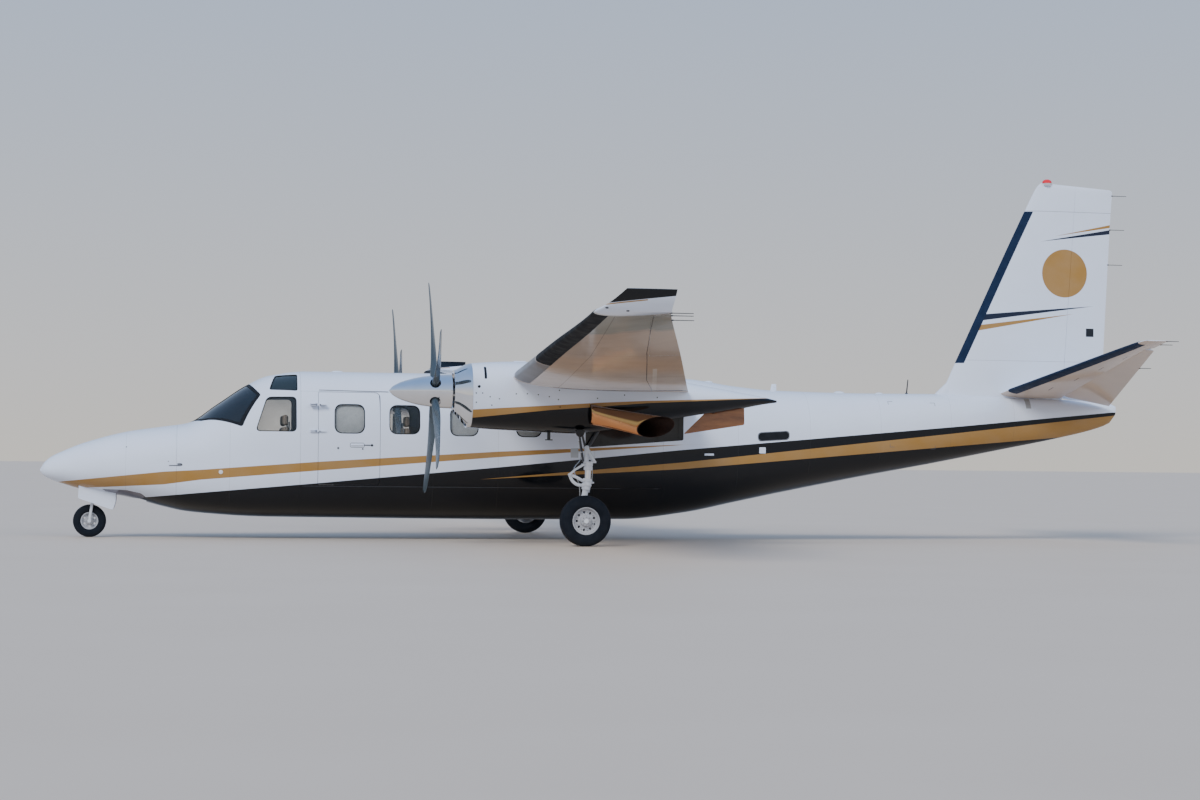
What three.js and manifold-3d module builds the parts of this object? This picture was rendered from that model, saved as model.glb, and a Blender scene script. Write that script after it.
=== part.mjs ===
// Twin-engine, high-wing turboprop aircraft, parked on its landing gear.
// Millimetres. X runs aft from the nose tip, +Y is starboard and Z is up from the ground.
// The whole aircraft is then moved forward by half its length, so the origin is under its middle.

import * as THREE from 'three';
import Module from 'manifold-3d';
import { mergeVertices } from 'three/addons/utils/BufferGeometryUtils.js';

const wasm = await Module();
wasm.setup();

// Driving dimensions
const overallLength = 13100;
const seam = 0.3; // between pieces that touch
const wallThickness = 60; // whole cabin wall and door, lining included
const tailSkin = 20;
const floorTop = 615;
const roofSplit = 1711; // level of the joint between side and roof panels
const noseEnd = 1550; // front pressure bulkhead
const cockpitEnd = 2950;
const cabinEnd = 7200;
const nacelleY = 2350;
const thrustZ = 1680;
const propellerX = 4310;
const propellerRadius = 1216;
const mainWheel = { x: 5992, y: 2350, z: 280, radius: 280, width: 200, rim: 152 };
const noseWheel = { x: 567, y: 0, z: 188, radius: 188, width: 130, rim: 100 };

const aroundFuselage = 24;
const aroundNacelle = 16;

// Finishes
const finishes = {
  white: [0xeef1f6, 0.25, 0.0],
  black: [0x0c0d10, 0.25, 0.0],
  chrome: [0xdfe3e8, 0.08, 1.0],
  blade: [0x9aa0a6, 0.35, 0.8],
  copper: [0x9a6a48, 0.2, 1.0],
  engine: [0x5a5d60, 0.6, 0.8],
  gear: [0xd8dade, 0.4, 0.1],
  rim: [0xc9cbc8, 0.45, 0.3],
  tyre: [0x1a1a1b, 0.85, 0.0],
  glass: [0x33414a, 0.05, 0.0],
  trim: [0xb8ab95, 0.8, 0.0],
  leather: [0xb7a78c, 0.6, 0.0],
  panel: [0x26282b, 0.6, 0.0],
};

const aircraft = new THREE.Group();
aircraft.position.x = -overallLength / 2;

// Solids

function solidOf(geometry) {
  const bare = geometry.clone();
  bare.deleteAttribute('normal');
  bare.deleteAttribute('uv');
  const merged = mergeVertices(bare, 1e-3);
  const index = Array.from(merged.index.array);
  const corners = [];
  for (let i = 0; i < index.length; i += 3) {
    const [a, b, c] = index.slice(i, i + 3);
    if (a !== b && b !== c && c !== a) corners.push(a, b, c);
  }
  const position = new Float32Array(merged.attributes.position.array);
  return new wasm.Manifold(
    new wasm.Mesh({ numProp: 3, vertProperties: position, triVerts: new Uint32Array(corners) }),
  );
}

function addPiece(name, solid, finish) {
  const mesh = solid.getMesh();
  const geometry = new THREE.BufferGeometry();
  geometry.setAttribute('position', new THREE.BufferAttribute(mesh.vertProperties, 3));
  geometry.setIndex(new THREE.BufferAttribute(mesh.triVerts, 1));
  geometry.computeVertexNormals();
  const [color, roughness, metalness] = finishes[finish];
  const piece = new THREE.Mesh(
    geometry,
    new THREE.MeshStandardMaterial({ color, roughness, metalness }),
  );
  piece.name = name;
  aircraft.add(piece);
}

function box(x0, x1, y0, y1, z0, z1) {
  const geometry = new THREE.BoxGeometry(x1 - x0, y1 - y0, z1 - z0);
  geometry.translate((x0 + x1) / 2, (y0 + y1) / 2, (z0 + z1) / 2);
  return solidOf(geometry);
}

// A round bar from one point to another, which may taper.
function bar(from, to, radius, endRadius = radius, segments = 10) {
  const start = new THREE.Vector3(...from);
  const run = new THREE.Vector3(...to).sub(start);
  const length = run.length();
  const geometry = new THREE.CylinderGeometry(endRadius, radius, length, segments);
  geometry.translate(0, length / 2, 0);
  geometry.applyQuaternion(
    new THREE.Quaternion().setFromUnitVectors(new THREE.Vector3(0, 1, 0), run.normalize()),
  );
  geometry.translate(...from);
  return solidOf(geometry);
}

// A body turned about the axis that runs along X (or Y) through centre. Profile rows are [along, radius].
// About Y, one of its flats is straight below the axis, so that a wheel stands on it.
function turned(profile, axis, centre, segments) {
  const points = profile.map(([along, radius]) => new THREE.Vector2(radius, along));
  const geometry = new THREE.LatheGeometry(points, segments, axis === 'y' ? Math.PI / segments : 0);
  if (axis === 'x') geometry.rotateZ(-Math.PI / 2);
  geometry.translate(...centre);
  const solid = solidOf(geometry);
  return solid.volume() < 0 ? solidOf(flipped(geometry)) : solid;
}

function flipped(geometry) {
  const turnedOver = geometry.clone();
  const index = Array.from(turnedOver.index.array);
  for (let i = 0; i < index.length; i += 3) {
    [index[i], index[i + 1]] = [index[i + 1], index[i]];
  }
  turnedOver.setIndex(index);
  return turnedOver;
}

// A skin stretched over rings of equal point count, closed with a flat cap at each end.
function loft(rings) {
  const count = rings[0].length;
  const middle = (ring) => [0, 1, 2].map((k) => ring.reduce((sum, p) => sum + p[k], 0) / count);
  const last = rings.length - 1;
  const positions = [...rings.flat(), middle(rings[0]), middle(rings[last])];
  const index = [];
  for (let j = 0; j < count; j += 1) {
    const next = (j + 1) % count;
    for (let i = 0; i < last; i += 1) {
      const [a, b] = [i * count + j, i * count + next];
      index.push(a, b, a + count, b, b + count, a + count);
    }
    index.push(positions.length - 2, next, j);
    index.push(positions.length - 1, last * count + j, last * count + next);
  }
  const geometry = new THREE.BufferGeometry();
  geometry.setAttribute('position', new THREE.Float32BufferAttribute(positions.flat(), 3));
  geometry.setIndex(index);
  const solid = solidOf(geometry);
  return solid.volume() < 0 ? solidOf(flipped(geometry)) : solid;
}

// A prism with rounded corners: the corner points, seen along the direction, pushed both ways.
function prism(corners, direction, { radius = 40, reach = 300, shrink = 0, bend = 2 } = {}) {
  const along = new THREE.Vector3(...direction).normalize();
  const aside = Math.abs(along.z) > 0.9 ? new THREE.Vector3(1, 0, 0) : new THREE.Vector3(0, 0, 1);
  const across = new THREE.Vector3().crossVectors(aside, along).normalize();
  const up = new THREE.Vector3().crossVectors(along, across);
  const centre = new THREE.Vector3();
  corners.forEach((corner) => centre.add(new THREE.Vector3(...corner)));
  centre.divideScalar(corners.length);
  const flat = corners.map((corner) => {
    const offset = new THREE.Vector3(...corner).sub(centre);
    const point = new THREE.Vector2(offset.dot(across), offset.dot(up));
    return point.multiplyScalar(1 - shrink / point.length());
  });
  const outline = new THREE.Shape();
  flat.forEach((point, i) => {
    const before = flat[(i + flat.length - 1) % flat.length];
    const after = flat[(i + 1) % flat.length];
    const back = before.clone().sub(point).setLength(radius).add(point);
    const ahead = after.clone().sub(point).setLength(radius).add(point);
    if (i === 0) outline.moveTo(back.x, back.y);
    else outline.lineTo(back.x, back.y);
    outline.quadraticCurveTo(point.x, point.y, ahead.x, ahead.y);
  });
  const geometry = new THREE.ExtrudeGeometry(outline, {
    depth: 2 * reach,
    bevelEnabled: false,
    curveSegments: bend,
  });
  geometry.translate(0, 0, -reach);
  geometry.applyMatrix4(new THREE.Matrix4().makeBasis(across, up, along));
  geometry.translate(centre.x, centre.y, centre.z);
  return solidOf(geometry);
}

function joined(solids) {
  return solids.reduce((whole, solid) => whole.add(solid));
}

// Smooth tables: a curve through each column with no overshoot between rows

function table(columns, rows) {
  const ats = rows.map((row) => row[0]);
  const curves = {};
  columns.slice(1).forEach((column, k) => {
    curves[column] = throughPoints(ats, rows.map((row) => row[k + 1]));
  });
  return { ats, curves };
}

function throughPoints(xs, ys) {
  const rise = xs.slice(1).map((x, i) => (ys[i + 1] - ys[i]) / (x - xs[i]));
  const slopes = xs.map((_, i) => {
    if (i === 0) return rise[0];
    if (i === xs.length - 1) return rise[i - 1];
    const [before, after] = [rise[i - 1], rise[i]];
    return before * after <= 0 ? 0 : (2 * before * after) / (before + after);
  });
  return (x) => {
    const inside = Math.min(Math.max(x, xs[0]), xs[xs.length - 1]);
    const i = Math.min(xs.findLastIndex((known) => known <= inside), xs.length - 2);
    const width = xs[i + 1] - xs[i];
    const t = (inside - xs[i]) / width;
    const [t2, t3] = [t * t, t * t * t];
    return (2 * t3 - 3 * t2 + 1) * ys[i] + (t3 - 2 * t2 + t) * width * slopes[i]
      + (3 * t2 - 2 * t3) * ys[i + 1] + (t3 - t2) * width * slopes[i + 1];
  };
}

// Bodies of rounded-square section, such as the fuselage and the nacelles

const bodyColumns = ['at', 'halfWidth', 'top', 'bottom', 'widest', 'roundTop', 'roundBottom'];

const fuselageShape = table(bodyColumns, [
  [0, 10, 778, 758, 768, 2.0, 2.0],
  [40, 92, 842, 712, 772, 2.0, 2.0],
  [130, 160, 903, 668, 778, 2.0, 2.0],
  [260, 232, 962, 622, 788, 2.0, 2.0],
  [480, 325, 1060, 552, 805, 2.1, 2.1],
  [978, 465, 1211, 470, 840, 2.2, 2.2],
  [1392, 550, 1282, 362, 875, 2.3, 2.4],
  [1666, 585, 1333, 305, 905, 2.3, 2.6],
  [2000, 625, 1552, 275, 940, 2.3, 2.8],
  [2340, 652, 1782, 255, 975, 2.4, 3.0],
  [2600, 668, 1900, 248, 1010, 2.5, 3.0],
  [3045, 680, 1957, 245, 1050, 2.6, 3.0],
  [5200, 680, 1957, 235, 1050, 2.7, 3.0],
  [6814, 680, 1957, 244, 1050, 2.7, 3.0],
  [7550, 668, 1945, 325, 1085, 2.6, 2.8],
  [8200, 620, 1862, 458, 1150, 2.4, 2.6],
  [8690, 575, 1820, 562, 1200, 2.3, 2.5],
  [9778, 450, 1802, 778, 1320, 2.2, 2.3],
  [10700, 345, 1808, 950, 1420, 2.2, 2.2],
  [11600, 240, 1790, 1130, 1500, 2.1, 2.1],
  [12345, 160, 1768, 1282, 1560, 2.1, 2.1],
  [12847, 105, 1740, 1407, 1600, 2.0, 2.0],
  [13040, 70, 1722, 1490, 1625, 2.0, 2.0],
  [13100, 25, 1690, 1580, 1640, 2.0, 2.0],
]);

const nacelleShape = table(bodyColumns, [
  [4515, 235, 1905, 1440, 1680, 2.2, 2.2],
  [4700, 320, 1992, 1290, 1660, 2.4, 2.6],
  [5200, 380, 2017, 1262, 1650, 2.6, 2.8],
  [5900, 385, 2010, 1238, 1640, 2.6, 2.8],
  [6400, 365, 1965, 1300, 1630, 2.5, 2.6],
  [7000, 290, 1840, 1408, 1620, 2.3, 2.3],
  [7620, 170, 1735, 1513, 1622, 2.1, 2.1],
  [8000, 70, 1668, 1590, 1624, 2.0, 2.0],
  [8144, 12, 1634, 1612, 1623, 2.0, 2.0],
]);

function bodyRing(shape, x, { inset = 0, centreY = 0, around = aroundFuselage } = {}) {
  const value = (column) => shape.curves[column](x);
  const middle = value('widest');
  return Array.from({ length: around }, (_, i) => {
    const angle = (2 * Math.PI * i) / around;
    const [c, s] = [Math.cos(angle), Math.sin(angle)];
    const upper = s >= 0;
    const width = Math.max(value('halfWidth') - inset, 2);
    const height = Math.max((upper ? value('top') - middle : middle - value('bottom')) - inset, 2);
    const power = upper ? value('roundTop') : value('roundBottom');
    const reach = (Math.abs(c / width) ** power + Math.abs(s / height) ** power) ** (-1 / power);
    return [x, centreY + reach * c, middle + reach * s];
  });
}

function bodyLoft(shape, from, to, step, options) {
  const inner = shape.ats.filter((at) => at > from + step / 4 && at < to - step / 4);
  const stops = [from];
  [...inner, to].forEach((stop) => {
    const start = stops[stops.length - 1];
    const parts = Math.max(Math.round((stop - start) / step), 1);
    for (let i = 1; i <= parts; i += 1) stops.push(start + ((stop - start) * i) / parts);
  });
  return loft(stops.map((x) => bodyRing(shape, x, options)));
}

// Half-width of the fuselage skin at a station and height.
function skinY(x, z) {
  const value = (column) => fuselageShape.curves[column](x);
  const middle = value('widest');
  const upper = z >= middle;
  const height = upper ? value('top') - middle : middle - value('bottom');
  const power = upper ? value('roundTop') : value('roundBottom');
  const share = Math.min(Math.abs(z - middle) / height, 1);
  return value('halfWidth') * (1 - share ** power) ** (1 / power);
}

// Whole bodies at each inset from the skin, kept so that every piece is cut from the same facets.
const wholeBodies = new Map();

function wholeBody(shape, inset, centreY) {
  const key = `${shape === fuselageShape} ${inset} ${centreY}`;
  if (!wholeBodies.has(key)) {
    const { ats } = shape;
    const around = shape === fuselageShape ? aroundFuselage : aroundNacelle;
    const step = shape === fuselageShape ? 900 : 700;
    wholeBodies.set(key, bodyLoft(shape, ats[0], ats[ats.length - 1], step, { inset, centreY, around }));
  }
  return wholeBodies.get(key);
}

function slice(solid, from, to) {
  return solid.intersect(box(from, to, -4000, 4000, 0, 2400));
}

function fuselage(from, to, inset = 0) {
  return slice(wholeBody(fuselageShape, inset, 0), from, to);
}

function fuselageShell(from, to, outerInset, innerInset) {
  return fuselage(from, to, outerInset).subtract(fuselage(from - 5, to + 5, innerInset));
}

function nacelleBody(side, from, to, inset = 0) {
  return slice(wholeBody(nacelleShape, inset, side * nacelleY), from, to);
}

// Wing and tail surfaces: rows along the span

const wingColumns = ['at', 'lead', 'trail', 'leadZ', 'trailZ', 'upper', 'lower', 'cant'];

const centreFall = 2750 * Math.tan(THREE.MathUtils.degToRad(4)); // from the wing joint to the middle
const wingPlan = table(wingColumns, [
  [0, 5090, 7720, 1839 - centreFall, 1680 - centreFall, 200, 80, 0],
  [2750, 5129, 7047, 1839, 1720, 180, 85, 4],
  [5200, 5149, 6448, 2046, 1990, 120, 62, 4],
  [7560, 5168, 5860, 2245, 2250, 48, 34, 6],
  [7740, 5205, 5828, 2262, 2246, 36, 28, 22],
  [7820, 5285, 5824, 2318, 2290, 26, 22, 55],
  [7895, 5345, 5832, 2375, 2362, 18, 16, 66],
  [7930, 5396, 5841, 2434, 2434, 8, 8, 70],
]);

// An aerofoil ring in rows of [share of chord, share of the greatest half-thickness].
const aerofoil = [
  [1, 0.02], [0.82, 0.36], [0.6, 0.78], [0.36, 1], [0.16, 0.86], [0.05, 0.52], [0, 0],
];

function wingRing(y, side, { grow = 0, from = 0, to = 1 } = {}) {
  const value = (column) => wingPlan.curves[column](Math.abs(y));
  const chord = value('trail') - value('lead');
  const cant = THREE.MathUtils.degToRad(value('cant'));
  const fall = value('trailZ') - value('leadZ');
  const thick = (share) => {
    const k = aerofoil.findIndex(([at]) => at <= share);
    const [[a, ta], [b, tb]] = k > 0 ? [aerofoil[k - 1], aerofoil[k]] : [aerofoil[0], aerofoil[1]];
    return ta + ((tb - ta) * (share - a)) / (b - a);
  };
  const shares = [to, ...aerofoil.map(([at]) => at).filter((at) => at < to && at > from), from];
  const place = (share, height, push) => [
    value('lead') + share * chord + push,
    side * (Math.abs(y) - height * Math.sin(cant)),
    value('leadZ') + share * fall + height * Math.cos(cant),
  ];
  const push = (share) => (share === to ? grow : share === from ? -grow : 0);
  const top = shares.map((share) => place(share, thick(share) * value('upper') + grow + 1, push(share)));
  const under = shares.map((share) => place(share, -thick(share) * value('lower') - grow - 1, push(share)));
  return [...top, ...under.reverse()];
}

function wing(y0, y1, side, options = {}) {
  const stops = [y0, ...wingPlan.ats.filter((at) => at > y0 + 1 && at < y1 - 1), y1];
  return loft(stops.map((y) => wingRing(y, side, options)));
}

// A tail surface of symmetric section between two chords, each {at, lead, trail, thick, base}.
function tailRing(row, upright, { grow = 0, from = 0, to = 1 } = {}) {
  const chord = row.trail - row.lead;
  const shape = [[1, 0.04], [0.6, 0.7], [0.3, 1], [0.08, 0.62], [0, 0.03]];
  const thick = (share) => {
    const k = Math.max(shape.findIndex(([at]) => at <= share), 1);
    const [[a, ta], [b, tb]] = [shape[k - 1], shape[k]];
    return (ta + ((tb - ta) * (share - a)) / (b - a)) * (row.thick / 2) + grow;
  };
  const shares = [to, ...shape.map(([at]) => at).filter((at) => at < to && at > from), from];
  const place = (share, offset) => {
    const push = share === to ? grow : share === from ? -grow : 0;
    const x = row.lead + share * chord + push;
    return upright ? [x, offset, row.at] : [x, row.at, row.base + offset];
  };
  const one = shares.map((share) => place(share, thick(share)));
  const other = shares.map((share) => place(share, -thick(share)));
  return [...one, ...other.reverse()];
}

function tailSurface(rows, upright, options) {
  return loft(rows.map((row) => tailRing(row, upright, options)));
}

const sides = [['left', -1], ['right', 1]];

// Wing: a centre section through the fuselage and nacelles, and an outer panel with winglet each side.
// Flaps and ailerons are cut out of it along straight lines in plan.

const wingJoint = 2760;
const flapSpan = { from: 730, to: 1925 };
const aileronSpan = { from: 5230, to: 7460 };
const flapShare = 0.72;
const aileronShare = 0.76;

function planCut(span, share, side, gap) {
  const edge = (y) => wingPlan.curves.lead(y) + share * (wingPlan.curves.trail(y) - wingPlan.curves.lead(y));
  const [inner, outer] = [span.from - gap, span.to + gap];
  const corners = [
    [edge(inner) - (gap ? seam : 0), side * inner, 1800],
    [edge(outer) - (gap ? seam : 0), side * outer, 1800],
    [wingPlan.curves.trail(outer) + 200, side * outer, 1800],
    [wingPlan.curves.trail(inner) + 200, side * inner, 1800],
  ];
  return prism(corners, [0, 0, 1], { radius: 1, reach: 700, bend: 1 });
}

const wingWhole = wing(0, wingJoint, 1).add(wing(0, wingJoint, -1));
const wingClear = wing(0, wingJoint, 1, { grow: seam }).add(wing(0, wingJoint, -1, { grow: seam }));

function buildWing() {
  let centre = wingWhole;
  sides.forEach(([name, side]) => {
    addPiece(`flap_${name}`, wingWhole.intersect(planCut(flapSpan, flapShare, side, 0)), 'white');
    centre = centre.subtract(planCut(flapSpan, flapShare, side, 4));
    const outer = wing(wingJoint + seam, 7930, side);
    addPiece(`aileron_${name}`, outer.intersect(planCut(aileronSpan, aileronShare, side, 0)), 'white');
    addPiece(`wing_${name}`, outer.subtract(planCut(aileronSpan, aileronShare, side, 4)), 'white');
  });
  addPiece('wing_centre', centre, 'white');
}

// Fuselage windows. Corner heights are on the skin, and the half-width follows from the skin's shape.

const onSkin = (x, z, side) => [x, side * skinY(x, z), z];

const cabinWindows = [
  { from: 3340, to: 3685, low: 1216, high: 1556 },
  { from: 3986, to: 4327, low: 1214, high: 1554 },
  { from: 4675, to: 5005, low: 1212, high: 1552 },
  { from: 5447, to: 5748, low: 1210, high: 1536 },
];

function cabinWindow(row, side, shrink) {
  const corners = [
    [row.from, side * 600, row.low], [row.to, side * 600, row.low],
    [row.to, side * 600, row.high], [row.from, side * 600, row.high],
  ];
  return prism(corners, [0, 1, 0], { radius: 90, reach: 220, shrink });
}

function cockpitPanes(side, shrink) {
  const windshield = prism(
    [
      [1700, side * 45, 1350], [1822, side * 350, 1372], [2295, side * 600, 1287],
      [2465, side * 500, 1687], [2360, side * 200, 1790], [2340, side * 45, 1800],
    ],
    [-0.62, side * 0.4, 0.68],
    { radius: 28, reach: 260, shrink },
  );
  const sideWindow = prism(
    [
      onSkin(2439, 1244, side), onSkin(2903, 1243, side),
      onSkin(2899, 1624, side), onSkin(2561, 1619, side),
    ],
    [0, 1, 0.12 * side],
    { radius: 60, reach: 220, shrink },
  );
  const eyebrow = prism(
    [
      onSkin(2594, 1725, side), onSkin(2912, 1715, side),
      onSkin(2914, 1888, side), onSkin(2661, 1878, side),
    ],
    [0, side * 0.7, 0.71],
    { radius: 30, reach: 160, shrink },
  );
  return { windshield, sideWindow, eyebrow };
}

// The cabin door, port side: hinged at its front edge on an upright axis just outside the skin.

const hingeX = 3148;
const hingeY = -690;
const doorFrame = { from: 3151, to: 3866, low: 632, high: roofSplit - 4, gap: 6 };

function doorOutline(gap) {
  const [x0, x1] = [doorFrame.from + gap, doorFrame.to + 60];
  const [z0, z1] = [doorFrame.low + gap, doorFrame.high - gap];
  const corners = [[x0, -600, z0], [x1, -600, z0], [x1, -600, z1], [x0, -600, z1]];
  const outline = prism(corners, [0, 1, 0], { radius: 5, reach: 200, bend: 1 });
  const sweep = doorFrame.to - hingeX - gap;
  return outline.intersect(bar([hingeX, hingeY, 500], [hingeX, hingeY, 1800], sweep, sweep, 96));
}

const hingeHeights = [1240, 1530];

function buildDoor() {
  let door = fuselageShell(3000, 3950, 0, wallThickness).intersect(doorOutline(doorFrame.gap));
  const pane = fuselageShell(3300, 3730, 10, wallThickness - 2);
  door = door.subtract(cabinWindow(cabinWindows[0], -1, 0));
  hingeHeights.forEach((z) => {
    door = door.add(hingeArm(z - 28, z + 28, 1));
  });
  addPiece('cabin_door', door, 'white');
  addPiece('door_window', pane.intersect(cabinWindow(cabinWindows[0], -1, 2 * seam)), 'glass');
}

// A hinge barrel with a strap to the skin; way is 1 on the door's side of the axis and -1 on the frame's.
function hingeArm(low, high, way) {
  const skin = -skinY(hingeX + way * 50, (low + high) / 2);
  const across = (from, to, y0, y1) => {
    const [x0, x1] = [hingeX + way * from, hingeX + way * to].sort((a, b) => a - b);
    return box(x0, x1, y0, y1, low, high);
  };
  return joined([
    bar([hingeX, hingeY, low], [hingeX, hingeY, high], 7, 7, 10),
    across(0, 30, hingeY - 5, hingeY + 6),
    across(14, 90, hingeY - 5, skin + 24),
  ]);
}

function hingeLugs() {
  return joined(hingeHeights.flatMap((z) => [
    hingeArm(z - 52, z - 28 - seam, -1),
    hingeArm(z + 28 + seam, z + 52, -1),
  ]));
}

// Fuselage panels

const noseBay = { from: 440, to: 1210, half: 180, top: 860 };

function buildFuselage() {
  const bay = box(noseBay.from, noseBay.to, -noseBay.half, noseBay.half, 0, noseBay.top);
  addPiece('fuselage_nose', fuselage(-5, noseEnd).subtract(bay), 'white');

  let cockpit = fuselageShell(noseEnd + seam, cockpitEnd, 0, wallThickness);
  sides.forEach(([name, side]) => {
    const openings = cockpitPanes(side, 0);
    const panes = cockpitPanes(side, 2 * seam);
    const glass = fuselageShell(noseEnd + 20, cockpitEnd - 10, 8, 20);
    cockpit = cockpit.subtract(openings.windshield).subtract(openings.sideWindow).subtract(openings.eyebrow);
    const half = box(noseEnd, cockpitEnd, Math.min(0, side * 700), Math.max(0, side * 700), 1100, 2100);
    addPiece(`windshield_${name}`, largest(glass.intersect(panes.windshield).intersect(half)), 'glass');
    addPiece(`cockpit_window_${name}`, largest(glass.intersect(panes.sideWindow).intersect(half)), 'glass');
    addPiece(`eyebrow_window_${name}`, largest(glass.intersect(panes.eyebrow).intersect(half)), 'glass');
  });
  addPiece('cockpit_shell', cockpit, 'white');

  const shell = fuselageShell(cockpitEnd + seam, cabinEnd, 0, wallThickness);
  const [x0, x1] = [cockpitEnd, cabinEnd];
  const high = box(x0, x1, -800, 800, roofSplit + seam / 2, 2200);
  const low = box(x0, x1, -800, 800, 100, floorTop + 5 - seam / 2);
  addPiece('cabin_roof', shell.intersect(high).subtract(wingClear), 'white');
  addPiece('cabin_belly', shell.intersect(low), 'black');
  sides.forEach(([name, side]) => {
    const [y0, y1] = [Math.min(0, side * 800), Math.max(0, side * 800)];
    const band = box(x0, x1, y0, y1, floorTop + 5 + seam / 2, roofSplit - seam / 2);
    let panel = shell.intersect(band).subtract(wingClear);
    const first = side < 0 ? 1 : 0;
    const rows = cabinWindows.slice(first);
    rows.forEach((row) => {
      panel = panel.subtract(cabinWindow(row, side, 0));
    });
    if (side < 0) panel = panel.subtract(doorOutline(0)).add(hingeLugs());
    addPiece(`cabin_side_${name}`, largest(panel), 'white');
    addPiece(`cabin_windows_${name}`, windowStrip(rows, side), 'glass');
  });

  const inner = fuselage(cabinEnd - 5, 12200, tailSkin);
  let tail = fuselage(cabinEnd + seam, overallLength + 5).subtract(inner);
  tail = tail.subtract(stabiliser({ grow: seam })).subtract(wingClear);
  addPiece('fuselage_tail', largest(tail), 'white');
}

// The panes of one side, joined behind the wall by the rail that holds them.
function windowStrip(rows, side) {
  const [from, to] = [rows[0].from + 60, rows[rows.length - 1].to - 60];
  const panes = fuselageShell(3200, 5850, 10, wallThickness + 6);
  const holes = rows.map((row) => panes.intersect(cabinWindow(row, side, 2 * seam)));
  const [y0, y1] = [Math.min(0, side * 800), Math.max(0, side * 800)];
  const rail = fuselageShell(3200, 5850, wallThickness + seam, wallThickness + 6)
    .intersect(box(from, to, y0, y1, 1235, 1260));
  return joined([...holes, rail]);
}

// The biggest of a solid's separate bodies.
function largest(solid) {
  const bodies = solid.decompose();
  return bodies.reduce((best, body) => (body.volume() > best.volume() ? body : best));
}

// Cabin inside

function buildInterior() {
  const room = fuselage(noseEnd + seam, cabinEnd - seam, wallThickness + seam);
  const floor = room.intersect(box(noseEnd, cabinEnd, -700, 700, floorTop - 30, floorTop));
  addPiece('cabin_floor', floor, 'trim');
  const bulkhead = room.intersect(box(cabinEnd - 40, cabinEnd, -700, 700, floorTop + seam, 2000));
  addPiece('rear_bulkhead', largest(bulkhead.subtract(wingClear)), 'trim');

  const panel = box(1760, 1960, -520, 520, 1010, 1230).add(box(1700, 2010, -540, 540, 1230, 1262));
  const legs = box(1780, 1860, -90, 90, floorTop + seam, 1010);
  addPiece('instrument_panel', largest(panel.add(legs).intersect(room)), 'panel');

  const crewBar = box(2420, 2480, -420, 420, floorTop + seam, floorTop + 40);
  const crew = [-1, 1].map((side) => seat(2300, side * 300, 230, 1));
  addPiece('crew_seats', joined([crewBar, ...crew]), 'leather');
  sides.forEach(([name, side]) => {
    const y = side * 340;
    const stations = side < 0 ? [[4250, -1], [4700, 1]] : [[3450, -1], [4000, 1], [4700, 1]];
    const rail = box(side < 0 ? 4200 : 3400, 5250, y - 20, y + 20, floorTop + seam, floorTop + 30);
    const seats = stations.map(([x, way]) => seat(x, y, 200, way));
    addPiece(`cabin_seats_${name}`, joined([rail, ...seats]), 'leather');
  });
}

// A seat whose cushion starts at x; way is 1 when it faces forward and -1 when it faces aft.
function seat(x, y, halfWidth, way) {
  const [seatLength, backThick] = [430, 110];
  const backFrom = way > 0 ? x + seatLength : x - backThick;
  return joined([
    box(x + 60, x + seatLength - 60, y - 90, y + 90, floorTop + seam, 920),
    box(x, x + seatLength, y - halfWidth, y + halfWidth, 900, 1020),
    box(
      Math.min(backFrom, x + seatLength - 1), Math.max(backFrom + backThick, x + 1),
      y - halfWidth, y + halfWidth, 900, 1440,
    ),
  ]);
}

// Nacelles, each with a polished intake ring, an engine, an exhaust stub and gear doors

const ringEnd = 4700;
// The wheel bay is open from its inboard edge past the middle; the skin outboard of it is whole.
const wheelBay = { from: 5860, narrows: 6900, to: 7420, inboard: 262, outboard: 150 };
const nacelleSkin = 14;
const engineFront = 4760;

function buildNacelle(name, side) {
  const centreY = side * nacelleY;
  const outer = nacelleBody(side, ringEnd + seam, 8200);
  const inside = nacelleBody(side, ringEnd - 5, 7700, nacelleSkin);
  const { from, narrows, to, inboard, outboard } = wheelBay;
  const bayCorners = [
    [from, -inboard], [narrows, -inboard], [to, 112 - inboard],
    [to, outboard - 50], [narrows, outboard], [from, outboard],
  ].map(([x, out]) => [x, centreY + side * out, 1330]);
  const bay = prism(bayCorners, [0, 0, 1], { radius: 1, reach: 230, bend: 1 });
  const wingAll = wingClear.add(wing(wingJoint, 7930, side, { grow: seam }));
  const exhaust = loft(exhaustRings(side, seam, 0));
  const nacelle = outer.subtract(inside).subtract(wingAll).subtract(bay).subtract(exhaust);
  addPiece(`nacelle_${name}`, largest(nacelle), 'white');

  const ring = nacelleBody(side, 4500, ringEnd);
  const scoopShape = (x, half, low, high, form) => prism(
    [
      [x, centreY - half, low], [x, centreY + half, low],
      [x, centreY + half - 15, high], [x, centreY - half + 15, high],
    ],
    [1, 0, 0],
    form,
  );
  const scoop = scoopShape(4608, 165, 1285, 1590, { radius: 90, reach: 100 });
  const mouth = scoopShape(4500, 140, 1305, 1560, { radius: 80, reach: 160 });
  const shaftHole = bar([4500, centreY, thrustZ], [4800, centreY, thrustZ], 75);
  const hollow = nacelleBody(side, 4640, ringEnd + 5, nacelleSkin);
  const scoopAhead = scoop.subtract(box(ringEnd, 4800, centreY - 400, centreY + 400, 1000, 2100));
  const front = ring.add(scoopAhead).subtract(hollow).subtract(mouth).subtract(shaftHole);
  addPiece(`intake_ring_${name}`, largest(front), 'chrome');

  const block = box(engineFront, 5660, centreY - 250, centreY + 250, 1200, 1740);
  const within = nacelleBody(side, ringEnd, 6000, nacelleSkin + seam);
  addPiece(`engine_${name}`, largest(block.intersect(within).subtract(wingAll)), 'engine');
  addPiece(`exhaust_${name}`, exhaustPipe(side), 'copper');
}

// The exhaust stub leaves the nacelle's outboard side, aimed aft, outboard and down, and is cut upright.
const exhaustPath = { from: [5900, 2560, 1520], to: [6640, 3060, 1308] };

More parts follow.
